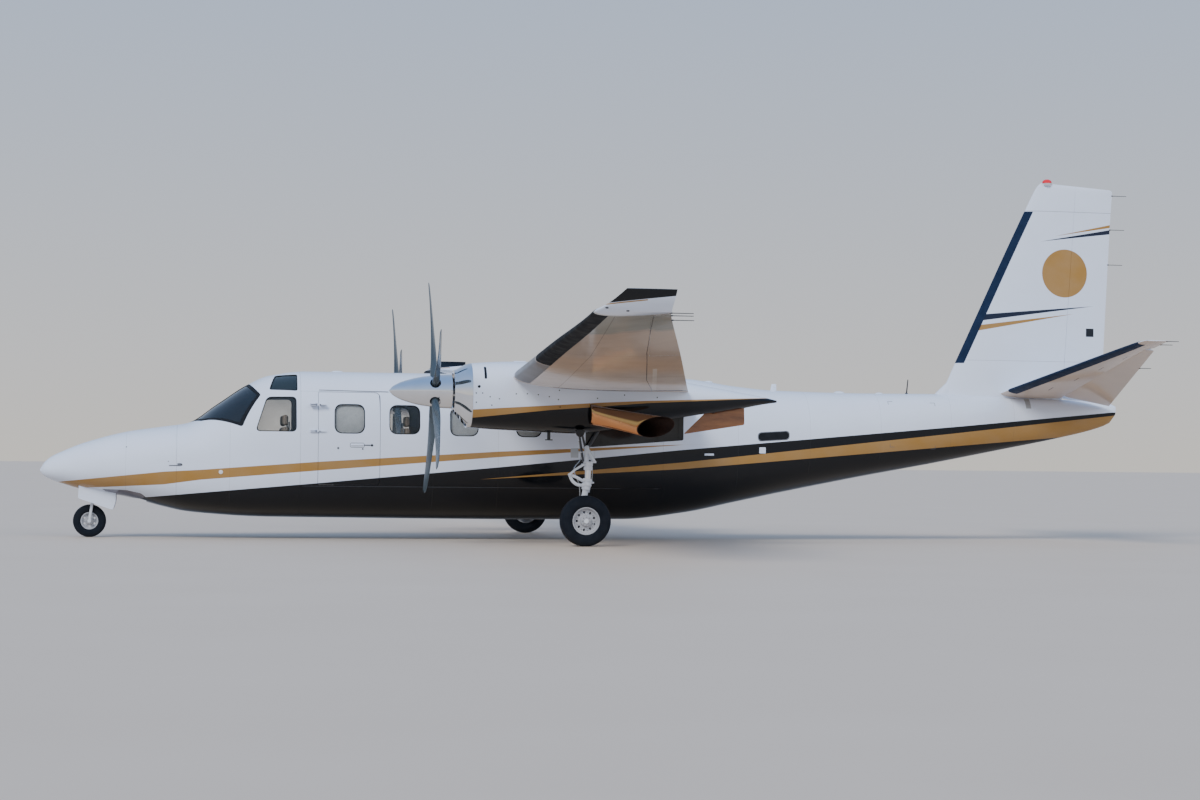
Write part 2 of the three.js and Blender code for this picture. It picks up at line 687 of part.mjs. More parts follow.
function exhaustRings(side, grow, start, shift = [0, 0, 0]) {
  const { from, to } = exhaustPath;
  return [start, 1].map((t) => {
    const [x, y, z] = from.map((value, k) => value + (to[k] - value) * t + shift[k]);
    const [aft, inboard] = t === 1 ? [1.65, 0] : [0.58, 0.8];
    return Array.from({ length: 20 }, (_, i) => {
      const angle = (2 * Math.PI * i) / 20;
      const across = (118 + grow) * Math.cos(angle);
      const up = (104 + grow) * Math.sin(angle);
      return [x + aft * across, side * (y - inboard * across), z + up];
    });
  });
}

function exhaustPipe(side) {
  const centreY = side * nacelleY;
  const bore = loft(exhaustRings(side, -6, 0.08));
  const mouth = loft(exhaustRings(side, -6, 0.9, [60, 36, -11]));
  const clearOfEngine = box(engineFront, 5662, centreY - 252, centreY + 252, 1200, 1745);
  return largest(loft(exhaustRings(side, 0, 0)).subtract(bore).subtract(mouth).subtract(clearOfEngine));
}

// Propellers: five blades on a hub with a shaft, and a spinner round the hub

const spinner = { tip: 3817, back: 4500, radius: 186 };
const bladeCount = 5;
const firstBlade = -12.5; // degrees from upright towards port

const spinnerCurve = (inset) => [
  [spinner.tip + inset * 2.2, 0], [3860 + inset, 50 - inset], [3980, 108 - inset],
  [4190, 160 - inset], [4400, 183 - inset], [spinner.back - 8, spinner.radius - inset],
];

function bladeDirection(k) {
  const angle = THREE.MathUtils.degToRad(firstBlade + (360 / bladeCount) * k);
  return [0, -Math.sin(angle), Math.cos(angle)];
}

function buildPropeller(name, side) {
  const centreY = side * nacelleY;
  const centre = [0, centreY, thrustZ];
  const profile = [...spinnerCurve(0), [spinner.back, spinner.radius], [spinner.back, 0]];
  const shell = turned(profile, 'x', centre, 16);
  const hollow = turned([...spinnerCurve(7), [spinner.back - 8, 0]], 'x', centre, 16);
  const onShaft = turned([[4450, 0], [4450, 55 + seam], [4550, 55 + seam], [4550, 0]], 'x', centre, 12);
  let cover = shell.subtract(hollow).subtract(onShaft);
  const shaftEnd = engineFront - seam;
  const hubProfile = [[4220, 0], [4220, 108], [4400, 108], [4400, 55], [shaftEnd, 55], [shaftEnd, 0]];
  const hub = turned(hubProfile, 'x', centre, 12);
  const blades = [];
  for (let k = 0; k < bladeCount; k += 1) {
    const direction = bladeDirection(k);
    const at = (reach) => [propellerX, centreY + direction[1] * reach, thrustZ + direction[2] * reach];
    cover = cover.subtract(bar(at(120), at(260), 62, 62, 8));
    blades.push(blade(centreY, direction));
  }
  addPiece(`spinner_${name}`, largest(cover), 'chrome');
  addPiece(`propeller_${name}`, joined([hub, ...blades]), 'blade');
}

// Blade rows: reach from the axis, chord, thickness, pitch from the disc in degrees, sweep of the mid-chord.
const bladeRows = [
  [60, 84, 84, 60, 0], [215, 84, 80, 60, 0], [330, 108, 36, 52, 4], [560, 140, 22, 42, 10],
  [860, 146, 15, 32, 4], [1080, 122, 10, 27, -16], [1180, 82, 8, 25, -36], [propellerRadius, 34, 6, 24, -50],
];

function blade(centreY, direction) {
  const [, dy, dz] = direction;
  const around = 8;
  const rings = bladeRows.map(([reach, chord, thick, pitchAngle, sweep]) => {
    const pitch = THREE.MathUtils.degToRad(pitchAngle);
    return Array.from({ length: around }, (_, i) => {
      const angle = (2 * Math.PI * i) / around;
      const across = (chord / 2) * Math.cos(angle) + sweep;
      const deep = (thick / 2) * Math.sin(angle);
      const along = across * Math.sin(pitch) + deep * Math.cos(pitch);
      const aside = across * Math.cos(pitch) - deep * Math.sin(pitch);
      return [propellerX + along, centreY + dy * reach + dz * aside, thrustZ + dz * reach - dy * aside];
    });
  });
  return loft(rings);
}

// Wheels

const aroundWheel = 24;

function buildWheel(name, wheel, bore) {
  const half = wheel.width / 2;
  const lip = wheel.rim;
  const tread = wheel.radius / Math.cos(Math.PI / aroundWheel); // so that its flats are at the real radius
  const side = [
    [0.72, lip + seam], [1, lip + 34], [0.98, tread - 52], [0.72, tread - 12], [0.3, tread],
  ];
  const tyre = [
    ...side.map(([share, radius]) => [-half * share, radius]),
    ...side.toReversed().map(([share, radius]) => [half * share, radius]),
    [-half * 0.72, lip + seam],
  ];
  const rim = [
    [-half * 0.72, bore], [-half * 0.72, bore + 26], [-half * 0.35, bore + 34], [-half * 0.35, lip - 26],
    [-half * 0.74, lip - 10], [-half * 0.74, lip], [half * 0.74, lip], [half * 0.74, lip - 10],
    [half * 0.35, lip - 26], [half * 0.35, bore + 34], [half * 0.72, bore + 26], [half * 0.72, bore],
    [-half * 0.72, bore],
  ];
  const centre = [wheel.x, wheel.y, wheel.z];
  addPiece(`tyre_${name}`, turned(tyre, 'y', centre, aroundWheel), 'tyre');
  addPiece(`rim_${name}`, turned(rim, 'y', centre, aroundWheel), 'rim');
}

// Main gear: a leg inboard of each wheel, with a sliding piston, torque links and a drag brace

const legY = 2165;
const axleRadius = 26;

function buildMainGear(name, side) {
  const y = side * legY;
  const wingAll = wingClear;
  const link = (from, to) => bar(from, to, 14, 11, 8);
  const axleEnd = (out) => [mainWheel.x, side * out, mainWheel.z];
  const leg = joined([
    bar([5965, y, 1780], [5985, y, 1100], 44, 44),
    bar([5985, y, 1110], [5990, y, 850], 54, 54),
    bar([5990, y, 860], [5992, y, 640], 33, 33),
    bar([5992, y, 690], [5992, y, 400], 42, 42),
    bar([5992, y, 400], [5992, y, mainWheel.z - 30], 42, 50),
    bar(axleEnd(legY - 40), axleEnd(mainWheel.y + 86), axleRadius, axleRadius, 12),
    link([5965, y, 890], [5794, y, 785]),
    link([5965, y, 680], [5794, y, 785]),
    bar([5794, y - 32, 785], [5794, y + 32, 785], 16, 16, 8),
    bar([5990, y, 1060], [6420, y, 1640], 22, 22, 8),
    bar([5960, y - 70, 1085], [5960, y + 70, 1085], 24, 24, 8),
  ]);
  addPiece(`main_leg_${name}`, largest(leg.subtract(wingAll)), 'gear');
  buildWheel(name, { ...mainWheel, y: side * mainWheel.y }, axleRadius + 0.5);
  addPiece(`main_door_${name}`, mainDoors(side), 'black');
}

// The leg door hangs from the inboard edge of the bay. Its hinge rail runs aft to the wheel door, which
// hangs from the nacelle's underside and follows its side as it narrows.
function mainDoors(side) {
  const edge = nacelleY - wheelBay.inboard;
  const slab = (corners, taper) => prism(corners, [-side * taper, 1, 0], { radius: 12, reach: 6, bend: 2 });
  const legDoor = [[6030, 1440], [6030, 1088], [7140, 1180], [7140, 1470]];
  const wheelDoor = [[7135, 1250], [7370, 1490], [7420, 1560], [7800, 1620], [7805, 1360]];
  const taper = 0.18;
  const alongSide = (x) => side * (2125 + (x - 7170) * taper);
  const nacelle = wholeBody(nacelleShape, -seam, side * nacelleY);
  return joined([
    slab(legDoor.map(([x, z]) => [x, side * (edge + seam + 6), z]), 0),
    slab(wheelDoor.map(([x, z]) => [x, alongSide(x), z]), taper).subtract(nacelle),
    bar([7110, side * (edge + 10), 1445], [7440, alongSide(7440), 1500], 9, 9, 8),
  ]);
}

// Nose gear: a leg fixed in the bay, and a fork that steers about the raked leg's axis

const rake = 0.138; // aft lean of the leg for each unit of height
const legAt = (z) => noseWheel.x + rake * (z - noseWheel.z);
const forkTop = 455;

function buildNoseGear() {
  const leg = bar([legAt(noseBay.top + 12), 0, noseBay.top + 12], [legAt(forkTop), 0, forkTop], 44, 44);
  const brace = bar([legAt(600), 0, 600], [1000, 0, noseBay.top + 12], 20, 20, 8);
  const roof = box(noseBay.from, noseBay.to, -200, 200, noseBay.top - seam, 1200);
  addPiece('nose_leg', leg.add(brace).subtract(roof), 'gear');

  const drop = 0.6;
  const [tubeTop, crownZ] = [forkTop - drop, 415];
  const reach = noseWheel.width / 2 + 22;
  const arms = [-1, 1].map((side) => {
    const y = side * reach;
    return bar([legAt(crownZ), y, crownZ + 18], [noseWheel.x, y, noseWheel.z - 22], 15, 15, 10);
  });
  const fork = joined([
    bar([legAt(tubeTop), 0, tubeTop], [legAt(395), 0, 395], 34, 34),
    bar([legAt(crownZ), -reach - 8, crownZ], [legAt(crownZ), reach + 8, crownZ], 22, 22),
    ...arms,
    bar([noseWheel.x, -reach - 22, noseWheel.z], [noseWheel.x, reach + 22, noseWheel.z], 14, 14, 12),
  ]);
  addPiece('nose_fork', fork, 'gear');
  buildWheel('nose', noseWheel, 14.5);
  sides.forEach(([name, side]) => {
    const y = side * (noseBay.half - seam - 5);
    const door = prism(
      [[450, y, 640], [440, y, 450], [835, y, 318], [865, y, 420], [865, y, 640]],
      [0, 1, 0],
      { radius: 20, reach: 5, bend: 2 },
    );
    addPiece(`nose_door_${name}`, door, 'white');
  });
}

// Tail: fin and rudder, one stabiliser through the tail cone, one elevator with a tube behind it

const finRows = [
  { at: 1700, lead: 10735, trail: 12915, thick: 158 },
  { at: 1860, lead: 10850, trail: 12920, thick: 148 },
  { at: 2209, lead: 11015, trail: 12935, thick: 136 },
  { at: 4117, lead: 11907, trail: 13030, thick: 84 },
  { at: 4380, lead: 12040, trail: 13046, thick: 54 },
  { at: 4464, lead: 12115, trail: 13049, thick: 18 },
];
const rudderHinge = { lowX: 12395, lowZ: 1880, highX: 12560, highZ: 4500 };

function buildFin() {
  const { lowX, lowZ, highX, highZ } = rudderHinge;
  const hingeLine = (z) => lowX + ((z - lowZ) * (highX - lowX)) / (highZ - lowZ);
  const behind = (ahead, low) => prism(
    [
      [hingeLine(low) - ahead, 0, low], [highX - ahead, 0, highZ],
      [overallLength + 200, 0, highZ], [overallLength + 200, 0, low],
    ],
    [0, 1, 0],
    { radius: 1, reach: 300, bend: 1 },
  );
  const whole = tailSurface(finRows, true);
  const base = fuselage(10400, overallLength + 5, -seam);
  const clearance = stabiliser({ grow: seam }).add(elevatorTube(30));
  const fin = whole.subtract(behind(seam, 1000)).subtract(base).subtract(clearance);
  addPiece('fin', largest(fin), 'white');
  const rudder = whole.intersect(behind(0, lowZ)).subtract(base);
  addPiece('rudder', largest(rudder), 'white');
}

const stabRise = Math.tan(THREE.MathUtils.degToRad(10.1));
const stabRow = (at, lead, trail, thick) => (
  { at, lead, trail, thick, base: 1815 + Math.abs(at) * stabRise }
);
const elevatorHinge = 12362;
const stabRows = [
  stabRow(0, 11559, 12992, 112), stabRow(2650, 12124, 12478, 58),
  stabRow(2900, 12178, 12486, 44), stabRow(3020, 12230, 12482, 12),
];

function stabiliser(options = {}) {
  const half = (side) => {
    const rows = stabRows.map((row) => ({ ...row, at: side * row.at }));
    return tailSurface(rows, false, options);
  };
  const tips = elevatorCut(-1).add(elevatorCut(1));
  return half(-1).add(half(1)).subtract(tips);
}

function elevatorCut(side) {
  const [y0, y1] = [Math.min(-side, side * 2656), Math.max(-side, side * 2656)];
  return box(elevatorHinge, 13300, y0, y1, 1400, 2600);
}

function elevatorTube(radius) {
  return bar([12408, -200, 1842], [12408, 200, 1842], radius, radius, 12);
}

// The elevators hang a little: each is a wedge behind the hinge, between a root and a tip row.
const elevatorDroop = 0.25;
const elevatorRows = [
  { at: 135, trail: 12965, thick: 74 },
  { at: 2648, trail: 12478, thick: 36 },
];

function buildTailplane() {
  addPiece('stabiliser', stabiliser(), 'white');
  const halves = [-1, 1].map((side) => {
    const rings = elevatorRows.map(({ at, trail, thick }) => {
      const front = elevatorHinge + seam;
      const chord = trail - front;
      const outline = [[0, 1], [0.5, 0.52], [1, 0.05], [1, -0.05], [0.5, -0.52], [0, -1]];
      return outline.map(([share, height]) => [
        front + share * chord,
        side * at,
        1815 + at * stabRise - share * chord * elevatorDroop + (height * thick) / 2,
      ]);
    });
    return loft(rings);
  });
  addPiece('elevator', joined([...halves, elevatorTube(24)]), 'white');
}

buildFuselage();
buildDoor();
buildInterior();
buildWing();
sides.forEach(([name, side]) => {
  buildNacelle(name, side);
  buildPropeller(name, side);
  buildMainGear(name, side);
});
buildNoseGear();
buildFin();
buildTailplane();

export default aircraft;
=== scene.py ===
# Looks of the twin-engine aircraft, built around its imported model.
# Metres. Shapes are written in stations: X aft from the nose tip, Y to starboard, Z up from the ground.

import math

import bmesh
import bpy
import numpy as np
from mathutils import Matrix, Vector
from mathutils.bvhtree import BVHTree
from mathutils.interpolate import poly_3d_calc


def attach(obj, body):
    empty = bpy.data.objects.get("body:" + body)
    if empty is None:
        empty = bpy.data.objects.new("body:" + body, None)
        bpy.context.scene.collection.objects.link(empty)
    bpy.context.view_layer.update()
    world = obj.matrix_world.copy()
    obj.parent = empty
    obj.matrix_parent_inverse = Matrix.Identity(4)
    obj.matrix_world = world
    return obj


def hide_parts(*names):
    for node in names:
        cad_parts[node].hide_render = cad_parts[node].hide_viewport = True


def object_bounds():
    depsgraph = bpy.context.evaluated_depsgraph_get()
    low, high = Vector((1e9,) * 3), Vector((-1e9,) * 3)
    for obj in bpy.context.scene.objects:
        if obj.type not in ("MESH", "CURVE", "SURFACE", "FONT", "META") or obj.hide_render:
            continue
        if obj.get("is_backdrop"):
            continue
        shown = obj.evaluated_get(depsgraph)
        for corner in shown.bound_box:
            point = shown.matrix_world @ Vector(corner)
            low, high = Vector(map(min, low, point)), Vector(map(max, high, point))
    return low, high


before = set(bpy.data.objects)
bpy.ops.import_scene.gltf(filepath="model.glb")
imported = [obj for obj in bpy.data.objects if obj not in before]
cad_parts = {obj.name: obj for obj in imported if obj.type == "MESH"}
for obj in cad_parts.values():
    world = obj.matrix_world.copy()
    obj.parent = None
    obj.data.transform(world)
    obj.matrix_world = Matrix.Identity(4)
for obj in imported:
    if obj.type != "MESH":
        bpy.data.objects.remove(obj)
cad_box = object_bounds()
nose_x = cad_box[0][0]  # the nose tip in the row frame
PORT, STARBOARD = -1, 1
SIDES = (("left", PORT), ("right", STARBOARD))


# Curves and bodies


def smooth_curve(xs, ys):
    """A curve through the points, with no overshoot between them."""
    xs, ys = np.array(xs, float), np.array(ys, float)
    rise = np.diff(ys) / np.diff(xs)
    slopes = np.concatenate([rise[:1], np.zeros(len(xs) - 2), rise[-1:]])
    for i in range(1, len(xs) - 1):
        before, after = rise[i - 1], rise[i]
        slopes[i] = 0 if before * after <= 0 else 2 * before * after / (before + after)

    def at(x):
        x = np.clip(x, xs[0], xs[-1])
        i = np.clip(np.searchsorted(xs, x, side="right") - 1, 0, len(xs) - 2)
        width = xs[i + 1] - xs[i]
        t = (x - xs[i]) / width
        return (
            (2 * t**3 - 3 * t**2 + 1) * ys[i]
            + (t**3 - 2 * t**2 + t) * width * slopes[i]
            + (3 * t**2 - 2 * t**3) * ys[i + 1]
            + (t**3 - t**2) * width * slopes[i + 1]
        )

    return at


def curves_of(rows):
    """A curve for each column over the first one."""
    first, *others = zip(*rows)
    return [smooth_curve(first, column) for column in others]


def turn(count):
    """Cosines and sines of evenly spaced angles."""
    angle = np.linspace(0, 2 * math.pi, count, endpoint=False)
    return np.cos(angle), np.sin(angle)


def squared(c, s, half, height, square):
    """Points of a rounded square in the directions c, s."""
    reach = (np.abs(c / half) ** square + np.abs(s / height) ** square) ** (-1 / square)
    return reach * c, reach * s


class Body:
    """A body of rounded-square section. Rows: station, half-width, top, bottom, widest level, and how
    square its upper and lower halves are (2 is round)."""

    def __init__(self, rows, centre_y=0.0):
        self.curves = curves_of(rows)
        self.centre_y = centre_y

    def section(self, x, upper):
        half, top, bottom, middle, square_top, square_bottom = (curve(x) for curve in self.curves)
        height = np.where(upper, top - middle, middle - bottom)
        return half, height, middle, np.where(upper, square_top, square_bottom)

    def ring(self, x, around, inset=0.0):
        c, s = turn(around)
        station = np.full(around, x)
        half, height, middle, square = self.section(station, s >= 0)
        y, z = squared(c, s, np.maximum(half - inset, 0.002), np.maximum(height - inset, 0.002), square)
        return np.stack([station, self.centre_y + y, middle + z], 1)

    def field(self, points):
        """Below 0 inside the body, 0 on its skin."""
        x, y, z = points.T
        middle = self.curves[3](x)
        half, height, middle, square = self.section(x, z >= middle)
        return np.abs((y - self.centre_y) / half) ** square + np.abs((z - middle) / height) ** square - 1

    def normals(self, points):
        step = 0.0005
        grown = [self.field(points + step * axis) - self.field(points - step * axis) for axis in np.eye(3)]
        normal = np.stack(grown, 1)
        return normal / np.maximum(np.linalg.norm(normal, axis=1, keepdims=True), 1e-9)

    def skin_y(self, x, z):
        """Half-width of the skin at a station and level."""
        half, height, middle, square = self.section(x, z >= self.curves[3](x))
        share = min(abs(z - middle) / height, 1)
        return float(half * (1 - share**square) ** (1 / square))

    def loft(self, low, high, inset=0.0, around=96, step=0.06):
        stops = np.linspace(low, high, max(int(round((high - low) / step)), 1) + 1)
        return loft([self.ring(x, around, inset) for x in stops])


# Mesh making. A shape is (points, faces), and solid() makes an object of it.


def loft(rings, capped=True):
    """A skin over rings of equal point count."""
    count, last = len(rings[0]), (len(rings) - 1) * len(rings[0])
    faces = []
    for start in range(0, last, count):
        for j in range(count):
            a, b = start + j, start + (j + 1) % count
            faces.append((a, b, b + count, a + count))
    if capped:
        faces.append(tuple(reversed(range(count))))
        faces.append(tuple(range(last, last + count)))
    return np.concatenate([np.asarray(ring, float) for ring in rings]), faces


def together(*shapes):
    points, faces, start = [], [], 0
    for shape_points, shape_faces in shapes:
        points.append(np.asarray(shape_points, float))
        faces += [tuple(i + start for i in face) for face in shape_faces]
        start += len(shape_points)
    return np.concatenate(points), faces


def block(low, high):
    (x0, y0, z0), (x1, y1, z1) = low, high
    points = [(x, y, z) for x in (x0, x1) for y in (y0, y1) for z in (z0, z1)]
    faces = [(0, 1, 3, 2), (4, 6, 7, 5), (0, 4, 5, 1), (2, 3, 7, 6), (0, 2, 6, 4), (1, 5, 7, 3)]
    return np.array(points, float), faces


def across_of(along):
    """A unit direction across another one."""
    across = np.cross(along, (0, 0, 1) if abs(along[2]) < 0.9 else (1, 0, 0))
    return across / np.linalg.norm(across)


def frames_along(path):
    """Two directions across the path at each of its points, turned as little as possible."""
    along = np.gradient(path, axis=0)
    along /= np.linalg.norm(along, axis=1, keepdims=True)
    across = across_of(along[0])
    rows = []
    for direction in along:
        across = across - direction * across.dot(direction)
        across /= np.linalg.norm(across)
        rows.append((across.copy(), np.cross(direction, across)))
    return rows


def tube(path, radii, sides=16, squash=1.0):
    """A round bar along a path. radii is one number or one for each point."""
    path = np.asarray(path, float)
    c, s = turn(sides)
    rings = []
    for point, radius, (a, b) in zip(path, np.broadcast_to(radii, len(path)), frames_along(path)):
        rings.append(point + radius * (np.outer(c, a) + squash * np.outer(s, b)))
    return loft(rings)


def stepped(start, end, steps, sides):
    """A straight bar whose radius changes in steps: rows of share of the length, radius."""
    start, end = np.asarray(start, float), np.asarray(end, float)
    along = (end - start) / np.linalg.norm(end - start)
    across = across_of(along)
    c, s = turn(sides)
    ring = np.outer(c, across) + np.outer(s, np.cross(along, across))
    return loft([start + (end - start) * share + radius * ring for share, radius in steps])


def bar(start, end, radius, sides):
    """A straight bar of one radius."""
    return stepped(start, end, [(0, radius), (1, radius)], sides)


def revolved(profile, axis, centre, around=48):
    """Turns a closed outline of (along, radius) about the X or Y axis through centre."""
    along, radius = np.array(profile, float).T
    order = [0, 1, 2] if axis == "x" else [1, 0, 2]
    rings = [
        np.stack([along, radius * c, radius * s], 1)[:, order] + np.array(centre)
        for c, s in zip(*turn(around))
    ]
    points, faces = loft(rings + rings[:1], capped=False)
    last = len(points) - len(profile)
    return points[:last], [tuple(i % last for i in face) for face in faces]


def cap_profile(profile):
    """Keeps a profile that starts or ends on the axis a little off it."""
    return [(along, max(radius, 0.0005)) for along, radius in profile]


def rounded_outline(corners, radius, bend=6):
    """A flat outline with rounded corners, as 2-D points."""
    corners = [np.array(corner, float) for corner in corners]
    points = []
    for i, corner in enumerate(corners):
        before, after = corners[i - 1], corners[(i + 1) % len(corners)]
        r = radius[i] if isinstance(radius, list) else radius
        start, end = (
            corner + (other - corner) / np.linalg.norm(other - corner) * r for other in (before, after)
        )
        for t in np.linspace(0, 1, bend + 1):
            points.append((1 - t) ** 2 * start + 2 * t * (1 - t) * corner + t**2 * end)
    return points


def prism(corners, direction=(0, 1, 0), radius=0.04, reach=0.3, shrink=0.0, bend=6):
    """The corner points, seen along a direction and rounded, pushed both ways."""
    along = np.array(direction, float) / np.linalg.norm(direction)
    across = -across_of(along)
    up = np.cross(along, across)
    corners = np.array(corners, float)
    centre = corners.mean(0)
    flat = []
    for offset in corners - centre:
        point = np.array([offset.dot(across), offset.dot(up)])
        flat.append(point * (1 - shrink / np.linalg.norm(point)))
    outline = np.array([centre + p[0] * across + p[1] * up for p in rounded_outline(flat, radius, bend)])
    return loft([outline - reach * along, outline + reach * along])


def solid(name, shape, material=None, smooth_angle=30):
    """An object of the shape, its faces outwards, in the row frame."""
    points, faces = shape
    mesh = bpy.data.meshes.new(name)
    mesh.from_pydata((np.asarray(points, float) + (nose_x, 0, 0)).tolist(), [], faces)
    work = bmesh.new()
    work.from_mesh(mesh)
    bmesh.ops.recalc_face_normals(work, faces=work.faces)
    work.to_mesh(mesh)
    work.free()
    mesh.validate()
    obj = bpy.data.objects.new(name, mesh)
    bpy.context.scene.collection.objects.link(obj)
    if material:
        mesh.materials.append(material)
    smoothed(obj, smooth_angle)
    return obj


def smoothed(obj, angle=30):
    obj.data.polygons.foreach_set("use_smooth", np.ones(len(obj.data.polygons), bool))
    if angle < 180:
        obj.data.set_sharp_from_angle(angle=math.radians(angle))


SKIN_ALIKE = 0.8  # a face lies along a skin when its direction and the skin's agree by this much
WELD = 1e-5


def applied(obj):
    """Replaces the object's mesh by what its modifiers make of it."""
    bpy.context.view_layer.update()
    made = bpy.data.meshes.new_from_object(obj.evaluated_get(bpy.context.evaluated_depsgraph_get()))
    old = obj.data
    obj.modifiers.clear()
    obj.data = made
    bpy.data.meshes.remove(old)
    return obj


def cut(obj, operation, *shapes):
    """Cuts the object with shapes, or keeps only what is inside them."""
    for shape in shapes:
        tool = solid("tool", shape)
        modifier = obj.modifiers.new("cut", "BOOLEAN")
        modifier.operation = operation
        modifier.solver = "MANIFOLD"
        modifier.object = tool
        applied(obj)
        bpy.data.objects.remove(tool)
    return obj


def carve(obj, *shapes):
    return cut(obj, "DIFFERENCE", *shapes)


def keep(obj, *shapes):
    return cut(obj, "INTERSECT", *shapes)


def read_all(rows, name, kind=float):
    """One property of all the rows of a mesh, three numbers each or one whole one."""
    width = 3 if kind is float else 1
    values = np.zeros(len(rows) * width, kind)
    rows.foreach_get(name, values)
    return values.reshape(-1, 3) if width == 3 else values


def skin_shading(obj, body):
    """Shades the faces that lie along a body's skin by the body's own normals."""
    return shade_by(obj, body.normals(read_all(obj.data.vertices, "co") - (nose_x, 0, 0)))


def shade_by(obj, normals):
    """Shades the faces that lie across these normals, one for each point, by them."""
    mesh = obj.data
    smoothed(obj)
    corners = read_all(mesh.corner_normals, "vector")
    faces = read_all(mesh.polygons, "normal")
    vertex = read_all(mesh.loops, "vertex_index", int)
    counts = read_all(mesh.polygons, "loop_total", int)
    face = np.repeat(np.arange(len(counts)), counts)
    alike = np.sum(normals[vertex] * faces[face], axis=1)
    starts = np.concatenate([[0], np.cumsum(counts)[:-1]])
    on_skin = np.minimum.reduceat(np.abs(alike), starts) > SKIN_ALIKE
    corners = np.where(on_skin[face][:, None], normals[vertex] * np.sign(alike)[:, None], corners)
    mesh.normals_split_custom_set(corners.tolist())
    return obj


def place(obj, body, slot, *nodes):
    """Rides the piece on a body and hides the nodes that it stands for. Its slot is not used."""
    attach(obj, body)
    if nodes:
        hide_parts(*nodes)
    return obj


def piece(name, shape, finish, slot, *nodes, body="airframe", angle=30):
    """Makes and places a solid of the shape."""
    return place(solid(name, shape, M[finish], angle), body, slot, *nodes)


# Node materials


class Shader:
    def __init__(self, name, color=(0.8, 0.8, 0.8), roughness=0.5, metallic=0.0):
        self.material = bpy.data.materials.new(name)
        self.material.use_nodes = True
        self.tree = self.material.node_tree
        self.surface = next(n for n in self.tree.nodes if n.type == "BSDF_PRINCIPLED")
        self.coordinates = self.output("ShaderNodeTexCoord", "Object")
        self.set("Base Color", (*color, 1))
        self.set("Roughness", roughness)
        self.set("Metallic", metallic)

    def node(self, kind, **properties):
        made = self.tree.nodes.new(kind)
        for key, value in properties.items():
            setattr(made, key, value)
        return made

    def feed(self, target, value):
        if isinstance(value, bpy.types.NodeSocket):
            self.tree.links.new(value, target)
        elif value is not None:
            target.default_value = value

    def set(self, name, value):
        self.feed(self.surface.inputs[name], value)

    def output(self, kind, result=0, **given):
        """An output of a new node whose named inputs are given."""
        made = self.node(kind)
        for key, value in given.items():
            self.feed(made.inputs[key], value)
        return made.outputs[result]

    def math(self, operation, a, b=None, c=None, clamp=False):
        made = self.node("ShaderNodeMath", operation=operation, use_clamp=clamp)
        for target, value in zip(made.inputs, (a, b, c)):
            self.feed(target, value)
        return made.outputs[0]

    def mix(self, share, a, b):
        made = self.node("ShaderNodeMix", data_type="RGBA")
        sockets = [s for s in made.inputs if s.enabled]
        for target, value in zip(sockets, (share, a, b)):
            self.feed(target, (*value, 1) if isinstance(value, tuple) else value)
        return next(s for s in made.outputs if s.enabled)

    def over(self, color, tone, mask, share):
        """A tone laid over a colour by a share of a mask."""
        return self.mix(self.math("MULTIPLY", mask, share), color, tone)

    def noise(self, scale, detail=3.0, stretch=(1, 1, 1), rough=0.5):
        spot = self.output("ShaderNodeMapping", Vector=self.coordinates, Scale=stretch)
        given = {"Vector": spot, "Scale": scale, "Detail": detail, "Roughness": rough}
        return self.output("ShaderNodeTexNoise", "Fac", **given)

    def between(self, value, low, high, to_low=0.0, to_high=1.0):
        made = self.node("ShaderNodeMapRange")
        for target, given in zip(made.inputs, (value, low, high, to_low, to_high)):
            self.feed(target, given)
        return made.outputs[0]

    def uneven(self, noise, low, high):
        """A roughness that wanders between two values."""
        self.set("Roughness", self.between(noise, 0.3, 0.7, low, high))

    def split(self, vector):
        return self.output("ShaderNodeSeparateXYZ", Vector=vector).node.outputs

    def axes(self):
        """Station, Y and Z of the point, in metres."""
        x, y, z = self.split(self.coordinates)
        return self.math("SUBTRACT", x, nose_x), y, z

    def normal(self):
        """The three parts of the surface's direction."""
        return self.split(self.output("ShaderNodeNewGeometry", "Normal"))

    def line_through(self, along, points):
        """A level that follows straight runs between (along, level) points."""
        made = self.node("ShaderNodeFloatCurve")
        low, high = points[0][0], points[-1][0]
        levels = [level for _, level in points]
        base, span = min(levels), max(max(levels) - min(levels), 1e-6)
        curve = made.mapping.curves[0]
        while len(curve.points) < len(points):
            curve.points.new(0.5, 0.5)
        for point, (at, level) in zip(curve.points, points):
            point.location = ((at - low) / (high - low), (level - base) / span)
            point.handle_type = "VECTOR"
        made.mapping.update()
        self.feed(made.inputs["Value"], self.between(along, low, high))
        return self.math("MULTIPLY_ADD", made.outputs[0], span, base)

    def under(self, level, value, edge=0.003):
        """1 where value is under level."""
        return self.math("MULTIPLY_ADD", self.math("SUBTRACT", level, value), 1 / edge, 0.5, clamp=True)

    def joined(self, operation, masks):
        result = masks[0]
        for mask in masks[1:]:
            result = self.math(operation, result, mask)
        return result

    def both(self, *masks):
        return self.joined("MULTIPLY", masks)

    def either(self, *masks):
        return self.joined("MAXIMUM", masks)

    def opposite(self, mask):
        return self.math("SUBTRACT", 1.0, mask)

    def line_at(self, value, at, width):
        """1 within half a width of a value."""
        away = self.math("ABSOLUTE", self.math("SUBTRACT", value, at))
        return self.under(width / 2, away, min(width / 3, 0.004))

    def bump(self, height, distance, strength):
        given = {"Strength": strength, "Distance": distance, "Height": height}
        self.set("Normal", self.output("ShaderNodeBump", **given))


# White paint, tinted blue in its colour as if lit by the sky: painted sky light.
SKY_TINTED_WHITE = (0.74, 0.80, 0.92)
BLACK = (0.003, 0.004, 0.006)
GOLD = (0.36, 0.19, 0.045)
# Painted reflection of the ground on the wing's shaded underside.
GROUND_REFLECTION_TAN = (0.66, 0.51, 0.40)
STRIPE = (0.009, 0.015, 0.036)
GRIME = (0.45, 0.44, 0.42)
SEAM_TONE = (0.05, 0.05, 0.05)


